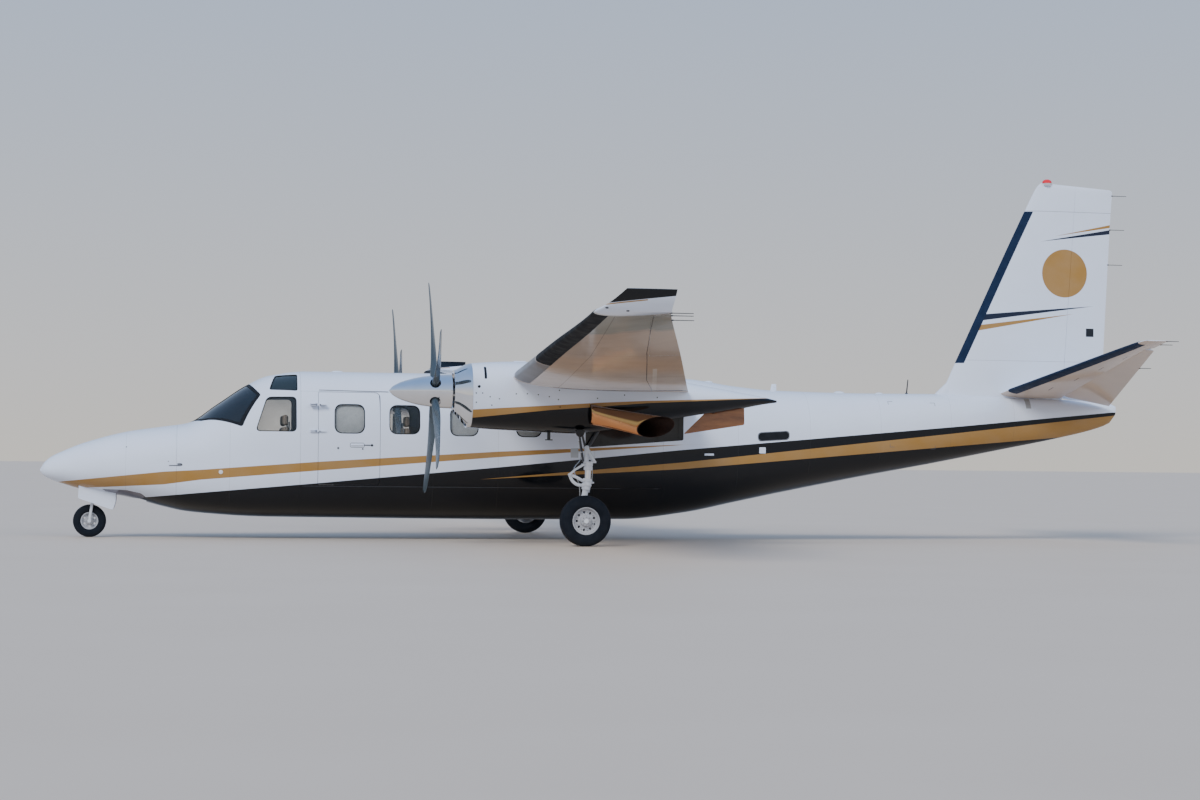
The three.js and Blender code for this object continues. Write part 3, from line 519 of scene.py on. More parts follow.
def dulled(shader, color, amount=0.06):
    """Slight fading and grime over a paint colour."""
    fade = shader.between(shader.noise(2.5, 4, (1, 1, 1.6)), 0.3, 0.7, 0.0, amount)
    return shader.mix(fade, color, GRIME)


def painted(shader, color, roughness=0.16):
    """A glossy coat over the colour."""
    shader.set("Base Color", color)
    shader.uneven(shader.noise(5.0, 2), roughness - 0.03, roughness + 0.05)
    shader.set("Coat Weight", 0.18)
    shader.set("Coat Roughness", 0.04)
    shader.set("Specular IOR Level", 0.28)
    shader.bump(shader.noise(3.0, 2), 0.002, 0.12)
    return shader.material


def beneath(shader, station, level, line):
    """1 under a line of (station, level) points."""
    return shader.under(shader.line_through(station, line), level)


def band(shader, station, level, top, bottom):
    """1 between two such lines."""
    under_top = beneath(shader, station, level, top)
    return shader.both(under_top, shader.opposite(beneath(shader, station, level, bottom)))


GOLD_TOP = ((0.0, 0.60), (0.244, 0.641), (1.406, 0.767), (1.817, 0.792), (3.159, 0.898), (5.259, 1.038),
            (7.30, 1.137), (7.45, 1.143))
GOLD_LOW = ((0.0, 0.50), (0.40, 0.50), (0.437, 0.566), (1.408, 0.620), (1.819, 0.678), (3.161, 0.797),
            (5.259, 0.973), (7.30, 1.128), (7.45, 1.143))
DARK_TOP = ((0.0, 0.30), (0.90, 0.40), (0.98, 0.482), (1.195, 0.468), (1.821, 0.529), (3.163, 0.652),
            (5.261, 0.855), (7.412, 1.078), (10.984, 1.408), (13.045, 1.612))
KEEL_TOP = ((5.04, 0.712), (7.413, 0.930), (10.984, 1.330), (13.045, 1.570), (13.1, 1.576))
KEEL_LOW = ((5.04, 0.712), (7.414, 0.852), (10.985, 1.170), (12.357, 1.292), (12.6, 1.10), (13.1, 1.00))
SEAM_WIDE = 0.004
PANEL_STATIONS = (0.98, 1.552, 2.152, 2.952, 4.48, 5.24, 6.38, 7.2, 8.12, 9.03, 9.94, 10.86, 11.7)


def hull_paint():
    shader = Shader("hull_paint")
    station, _, level = shader.axes()
    gold = dulled(shader, GOLD, 0.1)
    color = shader.mix(band(shader, station, level, GOLD_TOP, GOLD_LOW), dulled(shader, SKY_TINTED_WHITE), gold)
    color = shader.mix(beneath(shader, station, level, DARK_TOP), color, BLACK)
    behind = shader.opposite(shader.under(KEEL_TOP[0][0], station))
    keel = shader.both(behind, band(shader, station, level, KEEL_TOP, KEEL_LOW))
    color = shader.mix(keel, color, gold)
    seams = shader.either(*[shader.line_at(station, at, SEAM_WIDE) for at in PANEL_STATIONS])
    return painted(shader, shader.over(color, SEAM_TONE, seams, 0.22))


def plain_paint(name, color, roughness=0.16):
    shader = Shader(name)
    return painted(shader, dulled(shader, color), roughness)


def rubber(name, color, roughness):
    shader = Shader(name, color)
    shader.set("Base Color", shader.mix(shader.noise(14, 4), color, tuple(c * 1.8 + 0.006 for c in color)))
    shader.uneven(shader.noise(9), roughness - 0.1, roughness + 0.1)
    shader.set("Specular IOR Level", 0.15)
    shader.bump(shader.noise(160, 2), 0.0012, 0.3)
    return shader.material


def metal(name, color, roughness, brushed=0.0):
    shader = Shader(name, color, metallic=1.0)
    spread = 0.5 * brushed + 0.02
    shader.uneven(shader.noise(40), roughness - spread, roughness + spread)
    shader.set("Base Color", shader.mix(shader.noise(6), color, tuple(c * 0.86 for c in color)))
    return shader.material


exhaust_from, exhaust_to = (5.971, 2.720, 1.445), (6.634, 3.060, 1.312)


def copper_tint_and_reflections():
    """Exhaust stubs: copper with heat tint, banded by the way the surface faces into painted reflections:
    brown above and copper below, with a straw line of painted horizon reflection between.
    """
    shader = Shader("exhaust_heat_tint_and_reflections", metallic=1.0)
    upward = shader.normal()[2]
    # The bands by upward direction are painted reflections of the surroundings on the copper.
    copper = shader.mix(shader.noise(6, 3, (0.5, 1, 1)), (0.80, 0.37, 0.15), (0.55, 0.22, 0.09))
    color = shader.mix(shader.between(upward, 0.16, 0.28), copper, (0.82, 0.66, 0.30))
    color = shader.mix(shader.between(upward, 0.34, 0.42), color, (0.24, 0.15, 0.10))
    lip = shader.under(shader.math("ABSOLUTE", shader.axes()[1]), exhaust_to[1] - 0.004, 0.002)
    shader.set("Base Color", shader.mix(lip, color, (0.05, 0.03, 0.025)))
    shader.uneven(shader.noise(20, 3, (0.2, 1, 1)), 0.12, 0.28)
    return shader.material


def door_face_reflection():
    """The wheel door's glossy inner face: a copper-brown tone and streaks painted as reflection of the
    ground.
    """
    shader = Shader("door_inside_reflected_ground")
    reflected_streaks = shader.noise(4.0, 5, (0.6, 1, 2.4), 0.6)
    color = shader.mix(shader.between(reflected_streaks, 0.32, 0.66), (0.44, 0.17, 0.055), (0.20, 0.075, 0.032))
    shader.set("Base Color", color)
    shader.uneven(reflected_streaks, 0.06, 0.26)
    shader.set("Coat Weight", 0.5)
    shader.set("Coat Roughness", 0.05)
    shader.bump(reflected_streaks, 0.004, 0.25)
    return shader.material


def pane_glass(name, tint, clear):
    shader = Shader(name, tint, roughness=0.03)
    shader.set("Specular IOR Level", 0.9)
    facing = shader.output("ShaderNodeLayerWeight", "Facing", Blend=0.25)
    streak = shader.between(shader.noise(3), 0.35, 0.7, 0.0, 0.08)
    veil = shader.between(facing, 0.0, 1.0, clear, 1.0)
    shader.set("Alpha", shader.math("ADD", veil, streak, clamp=True))
    return shader.material


def blade_paint():
    """Dark slate blades, polished brighter along their length where the paint has worn."""
    shader = Shader("blade_slate", metallic=0.55)
    tone = shader.mix(shader.noise(5, 3, (1, 1, 0.3)), (0.055, 0.080, 0.100), (0.120, 0.150, 0.170))
    shader.set("Base Color", tone)
    shader.uneven(shader.noise(18, 3, (1, 1, 0.2)), 0.22, 0.38)
    return shader.material


def fine_plastic(name, color, roughness=0.45):
    shader = Shader(name, color)
    shader.set("Base Color", shader.mix(shader.noise(20), color, tuple(c * 1.5 + 0.004 for c in color)))
    shader.uneven(shader.noise(60, 2), roughness - 0.03, roughness + 0.06)
    shader.bump(shader.noise(400, 2), 0.0004, 0.25)
    return shader.material


def fabric(name, color, scale):
    shader = Shader(name, color, roughness=0.85)
    weave = shader.output("ShaderNodeTexWave", "Fac", Vector=shader.coordinates, Scale=scale)
    shader.set("Base Color", shader.mix(shader.noise(30, 4), color, tuple(c * 0.72 for c in color)))
    shader.bump(weave, 0.0008, 0.4)
    return shader.material


def leather(name, color):
    shader = Shader(name, color, roughness=0.48)
    cells = shader.output("ShaderNodeTexVoronoi", "Distance", Vector=shader.coordinates, Scale=320)
    shader.set("Base Color", shader.mix(shader.noise(8, 4), color, tuple(c * 0.8 for c in color)))
    shader.bump(cells, 0.0006, 0.5)
    return shader.material


NACELLE_TOP = ((4.5, 1.468), (4.697, 1.482), (5.533, 1.536), (6.087, 1.574), (6.595, 1.601), (7.983, 1.659),
               (8.2, 1.668))
NACELLE_LOW = ((4.5, 1.372), (4.698, 1.393), (5.533, 1.486), (5.986, 1.522), (6.595, 1.576), (7.983, 1.654),
               (8.2, 1.664))


def nacelle_paint():
    shader = Shader("nacelle_paint")
    station, _, level = shader.axes()
    gold = dulled(shader, GOLD, 0.1)
    color = shader.mix(beneath(shader, station, level, NACELLE_TOP), dulled(shader, SKY_TINTED_WHITE), gold)
    return painted(shader, shader.mix(beneath(shader, station, level, NACELLE_LOW), color, BLACK))


def wing_paint():
    """White above; below, painted reflection of the warm ground and painted shade, with the winglet's black
    panel, lines and panel joints.
    """
    shader = Shader("wing_paint")
    station, aside, level = shader.axes()
    out = shader.math("ABSOLUTE", aside)
    aft, _, upward = shader.normal()

    def from_line(points):
        """Distance aft of a line over the span."""
        return shader.math("SUBTRACT", station, shader.line_through(out, points))

    below = shader.both(shader.between(upward, 0.02, -0.12), shader.under(WINGLET_FROM, out, 0.01))
    # The underside tone is painted ground reflection and painted shade: lighter near the root, darker
    # outboard, with an orange painted reflection patch and a light painted reflection streak.
    tone = shader.mix(shader.noise(1.3, 3, (1, 0.5, 1)), GROUND_REFLECTION_TAN, (0.52, 0.40, 0.30))
    tone = shader.mix(shader.between(out, 4.6, 3.2), tone, (0.80, 0.69, 0.60))
    ragged = shader.math("MULTIPLY_ADD", shader.noise(2.6, 4), 0.5, out)
    tone = shader.mix(shader.between(ragged, 6.75, 6.90), tone, (0.40, 0.38, 0.32))
    reflected_patch = shader.both(shader.between(out, 5.3, 4.9), shader.between(out, 3.9, 4.3), shader.noise(1.9))
    tone = shader.over(tone, (0.78, 0.50, 0.30), reflected_patch, 0.7)
    from_spar = from_line(SPAR_LINE)
    streak = shader.both(shader.line_at(from_line(REFLECTED_STREAK_LINE), 0.0, 0.045), shader.under(4.40, out, 0.02))
    tone = shader.over(tone, (0.90, 0.80, 0.70), streak, 0.6)
    spans = [shader.both(shader.under(low, out), shader.under(out, high)) for low, high in SPAR_SLOTS]
    slots = shader.both(shader.either(*spans), shader.line_at(from_spar, 0.0, SLOT_WIDE))
    # Inboard of the aileron the spar line is a panel joint; along the aileron it is painted shade of the
    # aileron gap.
    spar = shader.math("MULTIPLY", shader.line_at(from_spar, 0.0, JOINT_WIDE), 0.8)
    front = shader.line_at(from_line(FRONT_LINE), 0.0, JOINT_WIDE)
    ribs = shader.either(*[shader.line_at(out, at, 0.010) for at in RIB_LINES])
    joints = shader.math("MULTIPLY", shader.either(front, ribs), 0.35)
    tone = shader.mix(shader.either(joints, slots, spar), tone, (0.07, 0.06, 0.05))
    # A painted shadow line along the gap of the wing joint, under the wing.
    root = shader.both(shader.line_at(out, *ROOT_GAP_SHADE), shader.under(station, ROOT_GAP_SHADE_FRONT))
    tone = shader.over(tone, (0.035, 0.03, 0.03), root, 0.9)
    color = shader.mix(below, dulled(shader, SKY_TINTED_WHITE), tone)
    # The walls of the aileron gap are painted near black: painted shade inside the gap.
    facing = shader.math("ABSOLUTE", aft)
    gap_wall_shade = shader.both(shader.under(facing, 0.50, 0.02), shader.line_at(from_spar, 0.0, 0.20))
    color = shader.mix(gap_wall_shade, color, (0.02, 0.02, 0.02))
    color = shader.over(color, (0.55, 0.45, 0.22), shader.line_at(out, *WINGLET_BAND), 0.55)
    tip = shader.under(out, WINGLET_PANEL_FROM, 0.01)
    edge = shader.line_through(station, WINGLET_EDGE)
    color = shader.mix(shader.both(tip, shader.under(level, edge)), color, BLACK)
    under_edge = shader.math("SUBTRACT", level, edge)
    thread = shader.both(tip, shader.line_at(under_edge, *THREAD), shader.under(THREAD_TO, station))
    return painted(shader, shader.mix(thread, color, GOLD))


SPAR_LINE = ((2.35, 6.74), (2.95, 6.60), (3.65, 6.41), (5.00, 6.15), (5.45, 6.06), (7.56, 5.71))
FRONT_LINE = ((2.35, 5.62), (5.20, 5.55), (7.56, 5.36))
# Where the light painted reflection streak runs under the wing.
REFLECTED_STREAK_LINE = ((2.60, 6.700), (4.40, 6.350))
SPAR_SLOTS = ((4.03, 4.85), (5.43, 5.85))
RIB_LINES = (2.98, 3.85, 5.23, 6.60)
SLOT_WIDE, JOINT_WIDE = 0.034, 0.008
# The painted shadow line at the wing joint:
ROOT_GAP_SHADE, ROOT_GAP_SHADE_FRONT = (2.775, 0.050), 5.64  # middle and width, then the station where it starts
WINGLET_FROM, WINGLET_PANEL_FROM = 7.565, 7.66
WINGLET_BAND = (7.585, 0.022)
THREAD, THREAD_TO = (-0.009, 0.010), 5.59  # the gold line just under the black panel
WINGLET_EDGE = ((5.20, 2.307), (5.90, 2.385))


def fin_paint():
    """White, with the stripes that taper to points, the plain disc and the dark square on the rudder."""
    shader = Shader("fin_paint")
    station, _, level = shader.axes()
    color = dulled(shader, SKY_TINTED_WHITE)
    gold = dulled(shader, GOLD, 0.1)
    for low, high, tip, dark in FIN_STRIPES:
        bottom, top = (shader.line_through(station, sorted((start, tip))) for start in (low, high))
        first, last = sorted((low[0], tip[0]))
        inside = shader.both(shader.under(station, first), shader.under(last, station))
        mask = shader.both(shader.under(top, level), shader.under(level, bottom), inside)
        color = shader.mix(mask, color, STRIPE if dark else gold)
    across, tall = (
        shader.math("POWER", shader.math("SUBTRACT", value, middle), 2.0)
        for value, middle in zip((station, level), DISC_AT)
    )
    disc = shader.under(DISC_RADIUS, shader.math("SQRT", shader.math("ADD", across, tall)))
    color = shader.mix(disc, color, gold)
    square = shader.both(*[shader.line_at(*row, SQUARE_SIZE) for row in zip((station, level), SQUARE_AT)])
    color = shader.mix(square, color, (0.008, 0.012, 0.020))
    lines = shader.either(*[shader.line_at(level, *row) for row in FIN_LINES])
    return painted(shader, shader.over(color, (0.06, 0.06, 0.07), lines, 0.5))


# Lower and upper start, tip, dark or gold
FIN_STRIPES = (
    ((11.20, 2.709), (11.20, 2.792), (12.804, 2.937), True),
    ((11.20, 2.585), (11.20, 2.658), (12.528, 2.833), False),
    ((13.06, 3.851), (13.06, 3.907), (12.098, 3.729), True),
    ((13.06, 3.933), (13.06, 3.971), (12.283, 3.800), False),
)
DISC_AT, DISC_RADIUS = (12.413, 3.337), 0.300
SQUARE_AT, SQUARE_SIZE = (12.756, 2.605), 0.104
FIN_LINES = ((4.108, 0.007), (2.235, 0.004))  # level and width
TAIL_SLOTS = ((12.02, 0.62), (12.14, 1.15), (12.22, 1.72), (12.30, 2.25))  # station and span position
TAIL_SLOT_WIDE, TAIL_SLOT_LONG = 0.014, 0.16


def tailplane_paint():
    """White above; below, a warm pale tone of painted ground reflection and painted shade."""
    shader = Shader("tailplane_paint")
    # Painted ground reflection and painted shade on the underside.
    tone = shader.mix(shader.noise(1.4), (0.72, 0.58, 0.47), (0.58, 0.46, 0.37))
    station, aside, _ = shader.axes()
    out = shader.math("ABSOLUTE", aside)
    slots = [
        shader.both(shader.line_at(station, x, TAIL_SLOT_WIDE), shader.line_at(out, y, TAIL_SLOT_LONG))
        for x, y in TAIL_SLOTS
    ]
    tone = shader.over(tone, (0.06, 0.05, 0.05), shader.either(*slots), 0.7)
    below = shader.between(shader.normal()[2], 0.02, -0.12)
    return painted(shader, shader.mix(below, dulled(shader, SKY_TINTED_WHITE), tone))


M = {
    "hull": hull_paint(),
    "nacelle": nacelle_paint(),
    "wing": wing_paint(),
    "white": plain_paint("white_paint_gloss", SKY_TINTED_WHITE),
    "grey": plain_paint("grey_paint_satin", (0.36, 0.38, 0.40), 0.4),
    "gear": plain_paint("gear_paint_gloss", (0.66, 0.69, 0.74), 0.28),
    "black": plain_paint("black_paint_gloss", BLACK, 0.1),
    "boot": rubber("boot_rubber", (0.006, 0.007, 0.009), 0.7),
    "navy_boot": rubber("blue_boot_rubber", (0.006, 0.014, 0.036), 0.6),
    "edge_grey": plain_paint("worn_edge_grey", (0.17, 0.17, 0.18), 0.5),
    "strut": plain_paint("dark_strut_grey", (0.055, 0.058, 0.065), 0.35),
    "pale_lens": plain_paint("pale_lamp_lens", (0.70, 0.70, 0.72), 0.12),
    "fin": fin_paint(),
    "tailplane": tailplane_paint(),
    "door_inside": door_face_reflection(),
    "seal": rubber("seal_rubber", (0.008, 0.009, 0.011), 0.6),
    "tyre": rubber("tyre_rubber", (0.005, 0.007, 0.011), 0.7),
    "chrome": metal("polished_chrome", (0.90, 0.91, 0.93), 0.04),
    "blade": blade_paint(),
    "steel": metal("plated_steel", (0.56, 0.57, 0.58), 0.22, 0.1),
    "rim": plain_paint("wheel_silver", (0.40, 0.41, 0.44), 0.34),
    "copper": copper_tint_and_reflections(),
    "glass": pane_glass("pane_glass", (0.05, 0.065, 0.07), 0.12),
    "smoked": pane_glass("smoked_glass", (0.02, 0.03, 0.03), 0.66),
    "shield": pane_glass("windshield_glass", (0.010, 0.014, 0.018), 0.66),
    "leather": leather("seat_leather_tan", (0.42, 0.34, 0.26)),
    "welt": leather("seat_welt", (0.26, 0.20, 0.15)),
    "dark_plastic": fine_plastic("dark_moulded_plastic", (0.022, 0.023, 0.026)),
    "screen": fine_plastic("instrument_glass", (0.006, 0.008, 0.012), 0.08),
    "blind": fabric("pleated_blind", (0.84, 0.86, 0.84), 60.0),
    "carpet": fabric("cabin_carpet", (0.12, 0.10, 0.085), 90.0),
    "trim": fabric("cabin_trim_cloth", (0.46, 0.41, 0.34), 180.0),
    "engine": metal("cast_engine_metal", (0.30, 0.31, 0.32), 0.5, 0.2),
    "seam_grey": plain_paint("seam_shadow_grey", (0.10, 0.105, 0.12), 0.4),
    # Dark glass for the patch of painted shade and reflection under the nose.
    "lens": pane_glass("belly_door_shade_glass", (0.14, 0.13, 0.16), 0.85),
    "red_lens": plain_paint("red_lens", (0.80, 0.010, 0.025), 0.1),
    # The tan of the wing's underside, which is painted ground reflection.
    "reflected_tan": plain_paint("underside_reflection_tan", (0.74, 0.64, 0.56), 0.2),
    "soot": metal("sooted_steel", (0.035, 0.022, 0.018), 0.55, 0.2),
}


# Fuselage

fuselage = Body([
    (0.000, 0.010, 0.778, 0.758, 0.768, 2.0, 2.0),
    (0.040, 0.098, 0.852, 0.706, 0.772, 2.0, 2.0),
    (0.130, 0.170, 0.930, 0.658, 0.778, 2.0, 2.0),
    (0.260, 0.240, 0.994, 0.614, 0.788, 2.0, 2.0),
    (0.480, 0.330, 1.086, 0.550, 0.805, 2.1, 2.1),
    (0.978, 0.465, 1.225, 0.470, 0.840, 2.2, 2.2),
    (1.392, 0.550, 1.290, 0.362, 0.875, 2.3, 2.4),
    (1.666, 0.585, 1.333, 0.305, 0.905, 2.3, 2.6),
    (2.000, 0.625, 1.552, 0.275, 0.940, 2.3, 2.8),
    (2.340, 0.652, 1.782, 0.255, 0.975, 2.4, 3.0),
    (2.600, 0.668, 1.900, 0.248, 1.010, 2.5, 3.0),
    (3.045, 0.680, 1.957, 0.245, 1.050, 2.6, 3.0),
    (5.200, 0.680, 1.957, 0.235, 1.050, 2.7, 3.0),
    (6.814, 0.680, 1.957, 0.244, 1.050, 2.7, 3.0),
    (7.550, 0.668, 1.945, 0.325, 1.085, 2.6, 2.8),
    (8.200, 0.620, 1.862, 0.458, 1.150, 2.4, 2.6),
    (8.690, 0.575, 1.820, 0.562, 1.200, 2.3, 2.5),
    (9.778, 0.450, 1.802, 0.778, 1.320, 2.2, 2.3),
    (10.700, 0.345, 1.808, 0.950, 1.420, 2.2, 2.2),
    (11.600, 0.240, 1.790, 1.130, 1.500, 2.1, 2.1),
    (12.345, 0.160, 1.768, 1.282, 1.560, 2.1, 2.1),
    (12.847, 0.105, 1.740, 1.407, 1.600, 2.0, 2.0),
    (13.040, 0.070, 1.722, 1.490, 1.625, 2.0, 2.0),
    (13.100, 0.025, 1.690, 1.580, 1.640, 2.0, 2.0),
])
wall = 0.060
nose_end, cockpit_end, cabin_end = 1.550, 2.950, 7.200
roof_split, belly_split = 1.711, 0.620
seam, pane_gap = 0.0012, 0.0006


def box_corners(x0, x1, z0, z1):
    return [(x0, z0), (x1, z0), (x1, z1), (x0, z1)]


def on_skin(x, z, side):
    return x, side * fuselage.skin_y(x, z), z


cabin_windows = (
    (3.338, 3.685, 1.228, 1.566), (3.970, 4.324, 1.226, 1.562),
    (4.675, 5.005, 1.212, 1.552), (5.447, 5.748, 1.210, 1.536),
)


def cabin_window(row, side, grow=0.0, reach=0.22):
    corners = [(x, side * 0.6, z) for x, z in box_corners(*row)]
    return prism(corners, radius=0.10, reach=reach, shrink=-grow, bend=10)


def windshield(side, grow=0.0):
    corners = [
        (1.700, side * 0.045, 1.350), (1.822, side * 0.350, 1.372), (2.295, side * 0.600, 1.287),
        (2.465, side * 0.500, 1.687), (2.360, side * 0.200, 1.790), (2.340, side * 0.045, 1.800),
    ]
    return prism(corners, (-0.62, side * 0.4, 0.68), 0.028, 0.26, -grow)


def side_window(side, grow=0.0):
    corners = [
        on_skin(2.439, 1.244, side), on_skin(2.903, 1.243, side),
        on_skin(2.899, 1.644, side), on_skin(2.566, 1.639, side),
    ]
    return prism(corners, (0, 1, 0.12 * side), 0.06, 0.22, -grow, 8)


def eyebrow(side, grow=0.0):
    corners = [
        on_skin(2.594, 1.725, side), on_skin(2.912, 1.715, side),
        on_skin(2.914, 1.908, side), on_skin(2.666, 1.891, side),
    ]
    return prism(corners, (0, side * 0.7, 0.71), 0.03, 0.16, -grow)


def shell(name, low, high, finish, outer=0.0, inner=wall, step=0.06):
    """A slice of the fuselage wall between two insets from the skin."""
    made = solid(name, fuselage.loft(low, high, outer, step=step), M[finish])
    return carve(made, fuselage.loft(low - 0.01, high + 0.01, inner, step=step))


def on_hull(obj, slot, *nodes, body="airframe"):
    """Shades a piece by the fuselage's skin and places it."""
    return place(skin_shading(obj, fuselage), body, slot, *nodes)


def half_space(side):
    return block((1.4, min(0, side), 1.1), (7.0, max(0, side), 2.2))


def build_nose():
    nose = solid("nose_cone", fuselage.loft(0, nose_end - seam, step=0.03), M["hull"])
    carve(nose, block((0.44, -0.18, 0), (1.21, 0.18, 0.86)))
    on_hull(nose, "white_paint", "fuselage_nose")


def build_cockpit():
    skin = shell("cockpit_skin", nose_end, cockpit_end, "hull", step=0.03)
    for _, side in SIDES:
        carve(skin, windshield(side), side_window(side), eyebrow(side))
    on_hull(skin, "white_paint", "cockpit_shell")
    panes = (
        (windshield, "windshield", "shield", 0.030),
        (side_window, "cockpit_window", "glass", 0.009),
        (eyebrow, "eyebrow_window", "smoked", 0.009),
    )
    for outline, node, finish, rim in panes:
        for word, side in SIDES:
            glass = shell(f"{node}_pane_{word}", 1.6, 2.94, finish, 0.006, 0.016, 0.03)
            keep(glass, half_space(side), outline(side, -pane_gap))
            on_hull(glass, "window_glass", f"{node}_{word}")
            seal = shell(f"{node}_seal_{word}", 1.6, 2.94, "seal", -0.0015, 0.014, 0.03)
            keep(seal, half_space(side), outline(side, rim * 0.4))
            on_hull(carve(seal, outline(side, -rim)), "window_glass")


def build_cabin():
    for part, low, high, slot in (
        ("roof", roof_split + seam / 2, 2.3, "white_paint"),
        ("belly", 0.0, belly_split - seam / 2, "black_paint"),
    ):
        skin = shell(f"cabin_{part}_skin", cockpit_end + seam, cabin_end, "hull")
        on_hull(keep(skin, block((2.8, -1, low), (7.4, 1, high))), slot, f"cabin_{part}")
    low, high = belly_split + seam / 2, roof_split - seam / 2
    for word, side in SIDES:
        skin = shell(f"cabin_side_skin_{word}", cockpit_end + seam, cabin_end, "hull")
        keep(skin, block((2.8, min(0, side), low), (7.4, max(0, side), high)))
        rows = cabin_windows[1:] if side == PORT else cabin_windows
        carve(skin, *[cabin_window(row, side) for row in rows])
        if side == PORT:
            carve(skin, door_outline(0.0))
        on_hull(skin, "white_paint", f"cabin_side_{word}")
        glass = [shell("pane", 3.2, 5.9, "glass", 0.006, 0.014, 0.1) for _ in rows]
        for pane, row in zip(glass, rows):
            skin_shading(keep(pane, cabin_window(row, side, -pane_gap, 0.3)), fuselage)
        place(merged(f"cabin_panes_{word}", glass), "airframe", "window_glass", f"cabin_windows_{word}")
        seals = [window_seal("seal", row, side, row[0] - 0.1, row[1] + 0.1) for row in rows]
        place(merged(f"cabin_window_seals_{word}", seals), "airframe", "window_glass")


def window_seal(name, row, side, low, high):
    ring = keep(shell(name, low, high, "seal", -0.001, 0.012, 0.03), cabin_window(row, side, 0.003))
    return skin_shading(carve(ring, cabin_window(row, side, -0.010)), fuselage)


def merged(name, objects):
    """Joins objects into the first one."""
    with bpy.context.temp_override(active_object=objects[0], selected_editable_objects=objects):
        bpy.ops.object.join()
    objects[0].name = name
    return objects[0]


# Cabin door, hinged at its front edge just outside the skin

hinge_x, hinge_y = 3.148, -0.690
door_from, door_to, door_low, door_high = 3.151, 3.866, 0.632, 1.707
door_gap = 0.004


def door_outline(gap):
    outline = box_corners(door_from + gap, door_to - gap, door_low + gap, door_high - gap)
    return prism([(x, -0.6, z) for x, z in outline], radius=[0.02, 0.06, 0.07, 0.02], reach=0.22, bend=8)


def build_door():
    window = cabin_windows[0]
    door = shell("cabin_door_skin", 3.0, 3.95, "hull", step=0.03)
    sweep = bar((hinge_x, hinge_y, 0.5), (hinge_x, hinge_y, 1.8), door_to - hinge_x - door_gap, 160)
    keep(door, door_outline(door_gap), sweep, block((3.0, -1, 0.5), (4.0, 0, 1.8)))
    on_hull(carve(door, cabin_window(window, PORT)), "white_paint", "cabin_door", body="cabin_door")
    pane = shell("door_pane", 3.2, 3.8, "glass", 0.006, 0.014, 0.03)
    keep(pane, cabin_window(window, PORT, -pane_gap))
    on_hull(pane, "window_glass", "door_window", body="cabin_door")
    place(window_seal("door_window_seal", window, PORT, 3.2, 3.8), "cabin_door", "window_glass")


def build_tail_cone():
    tail = solid("tail_cone", fuselage.loft(cabin_end + seam, 13.1, step=0.08), M["hull"])
    carve(tail, fuselage.loft(cabin_end - 0.01, 12.2, 0.02, step=0.08))
    on_hull(tail, "white_paint", "fuselage_tail")


# Wing: a centre section through the fuselage and nacelles, an outer panel with a winglet each side, flaps
# and ailerons. Rows: span position, leading and trailing edge, their levels, thickness above and below, cant.

centre_fall = 2.75 * math.tan(math.radians(4))  # from the wing joint to the middle
wing_rows = (
    (0.000, 5.090, 7.720, 1.839 - centre_fall, 1.680 - centre_fall, 0.200, 0.080, 0),
    (2.750, 5.129, 7.047, 1.839, 1.720, 0.180, 0.085, 4),
    (5.200, 5.149, 6.448, 2.046, 1.990, 0.120, 0.062, 4),
    (7.560, 5.168, 5.860, 2.245, 2.250, 0.048, 0.034, 6),
    (7.740, 5.238, 5.828, 2.292, 2.246, 0.034, 0.028, 22),
    (7.820, 5.295, 5.824, 2.338, 2.290, 0.026, 0.022, 55),
    (7.895, 5.362, 5.832, 2.400, 2.362, 0.018, 0.016, 66),
    (7.930, 5.396, 5.841, 2.434, 2.434, 0.008, 0.008, 70),
)
wing_curves = curves_of(wing_rows)
wing_joint, wing_tip = 2.760, 7.930
edge_from, boot_from, boot_to = 2.800, 4.260, 7.555  # the bare leading edge, then the rubber boot
boot_strip, boot_thick = 0.020, 0.0025
flap_from, flap_to, flap_share = 0.730, 1.925, 0.72
aileron_from, aileron_to, aileron_share = 5.230, 7.460, 0.76


SECTION = ((0.2969, 0.5), (-0.126, 1), (-0.3516, 2), (0.2843, 3), (-0.1036, 4))  # factors and powers


def half_section(share):
    """Half-thickness of a wing or tail section along its chord, as a share of the greatest."""
    return 10 * sum(factor * share**power for factor, power in SECTION)


def spaced(*runs):
    """Evenly spaced values, in runs of first, last and count."""
    return np.concatenate([np.linspace(*run) for run in runs])


def chord_shares(start, end, count):
    return start + (end - start) * (1 - np.cos(np.linspace(0, math.pi, count))) / 2


def wing_ring(y, side, start=0.0, end=1.0, grow=0.0):
    """A section of the wing between two shares of its chord, or of its leading edge alone."""
    lead, trail, lead_z, trail_z, upper, lower, cant = (float(curve(y)) for curve in wing_curves)
    cant = math.radians(cant)
    if end == "edge":
        end = float(np.interp(y, (2.80, 4.26, 7.55), (0.165, 0.150, 0.128))) / (trail - lead)
    share = chord_shares(start, end, 24)
    ahead = grow * (1 - share) ** 12

    def row(height):
        return np.stack([
            lead + share * (trail - lead) - ahead,
            side * (y - height * math.sin(cant)),
            lead_z + share * (trail_z - lead_z) + height * math.cos(cant),
        ], 1)

    top = row(half_section(share) * upper + grow + 0.001 * share)
    under = row(-half_section(share) * lower - grow - 0.001 * share)
    return np.concatenate([top[::-1], under[1:] if start == 0 else under])


def stops_between(low, high, *runs, clear=0.004):
    """Both ends and the spaced stops between them."""
    fine = spaced(*runs)
    return [low, *fine[(fine > low + clear) & (fine < high - clear)], high]


def wing_part(low, high, side, **section):
    stops = stops_between(low, high, (0, 7.56, 40), (7.58, 7.90, 25), (7.905, 7.93, 11))
    return loft([wing_ring(y, side, **section) for y in stops])


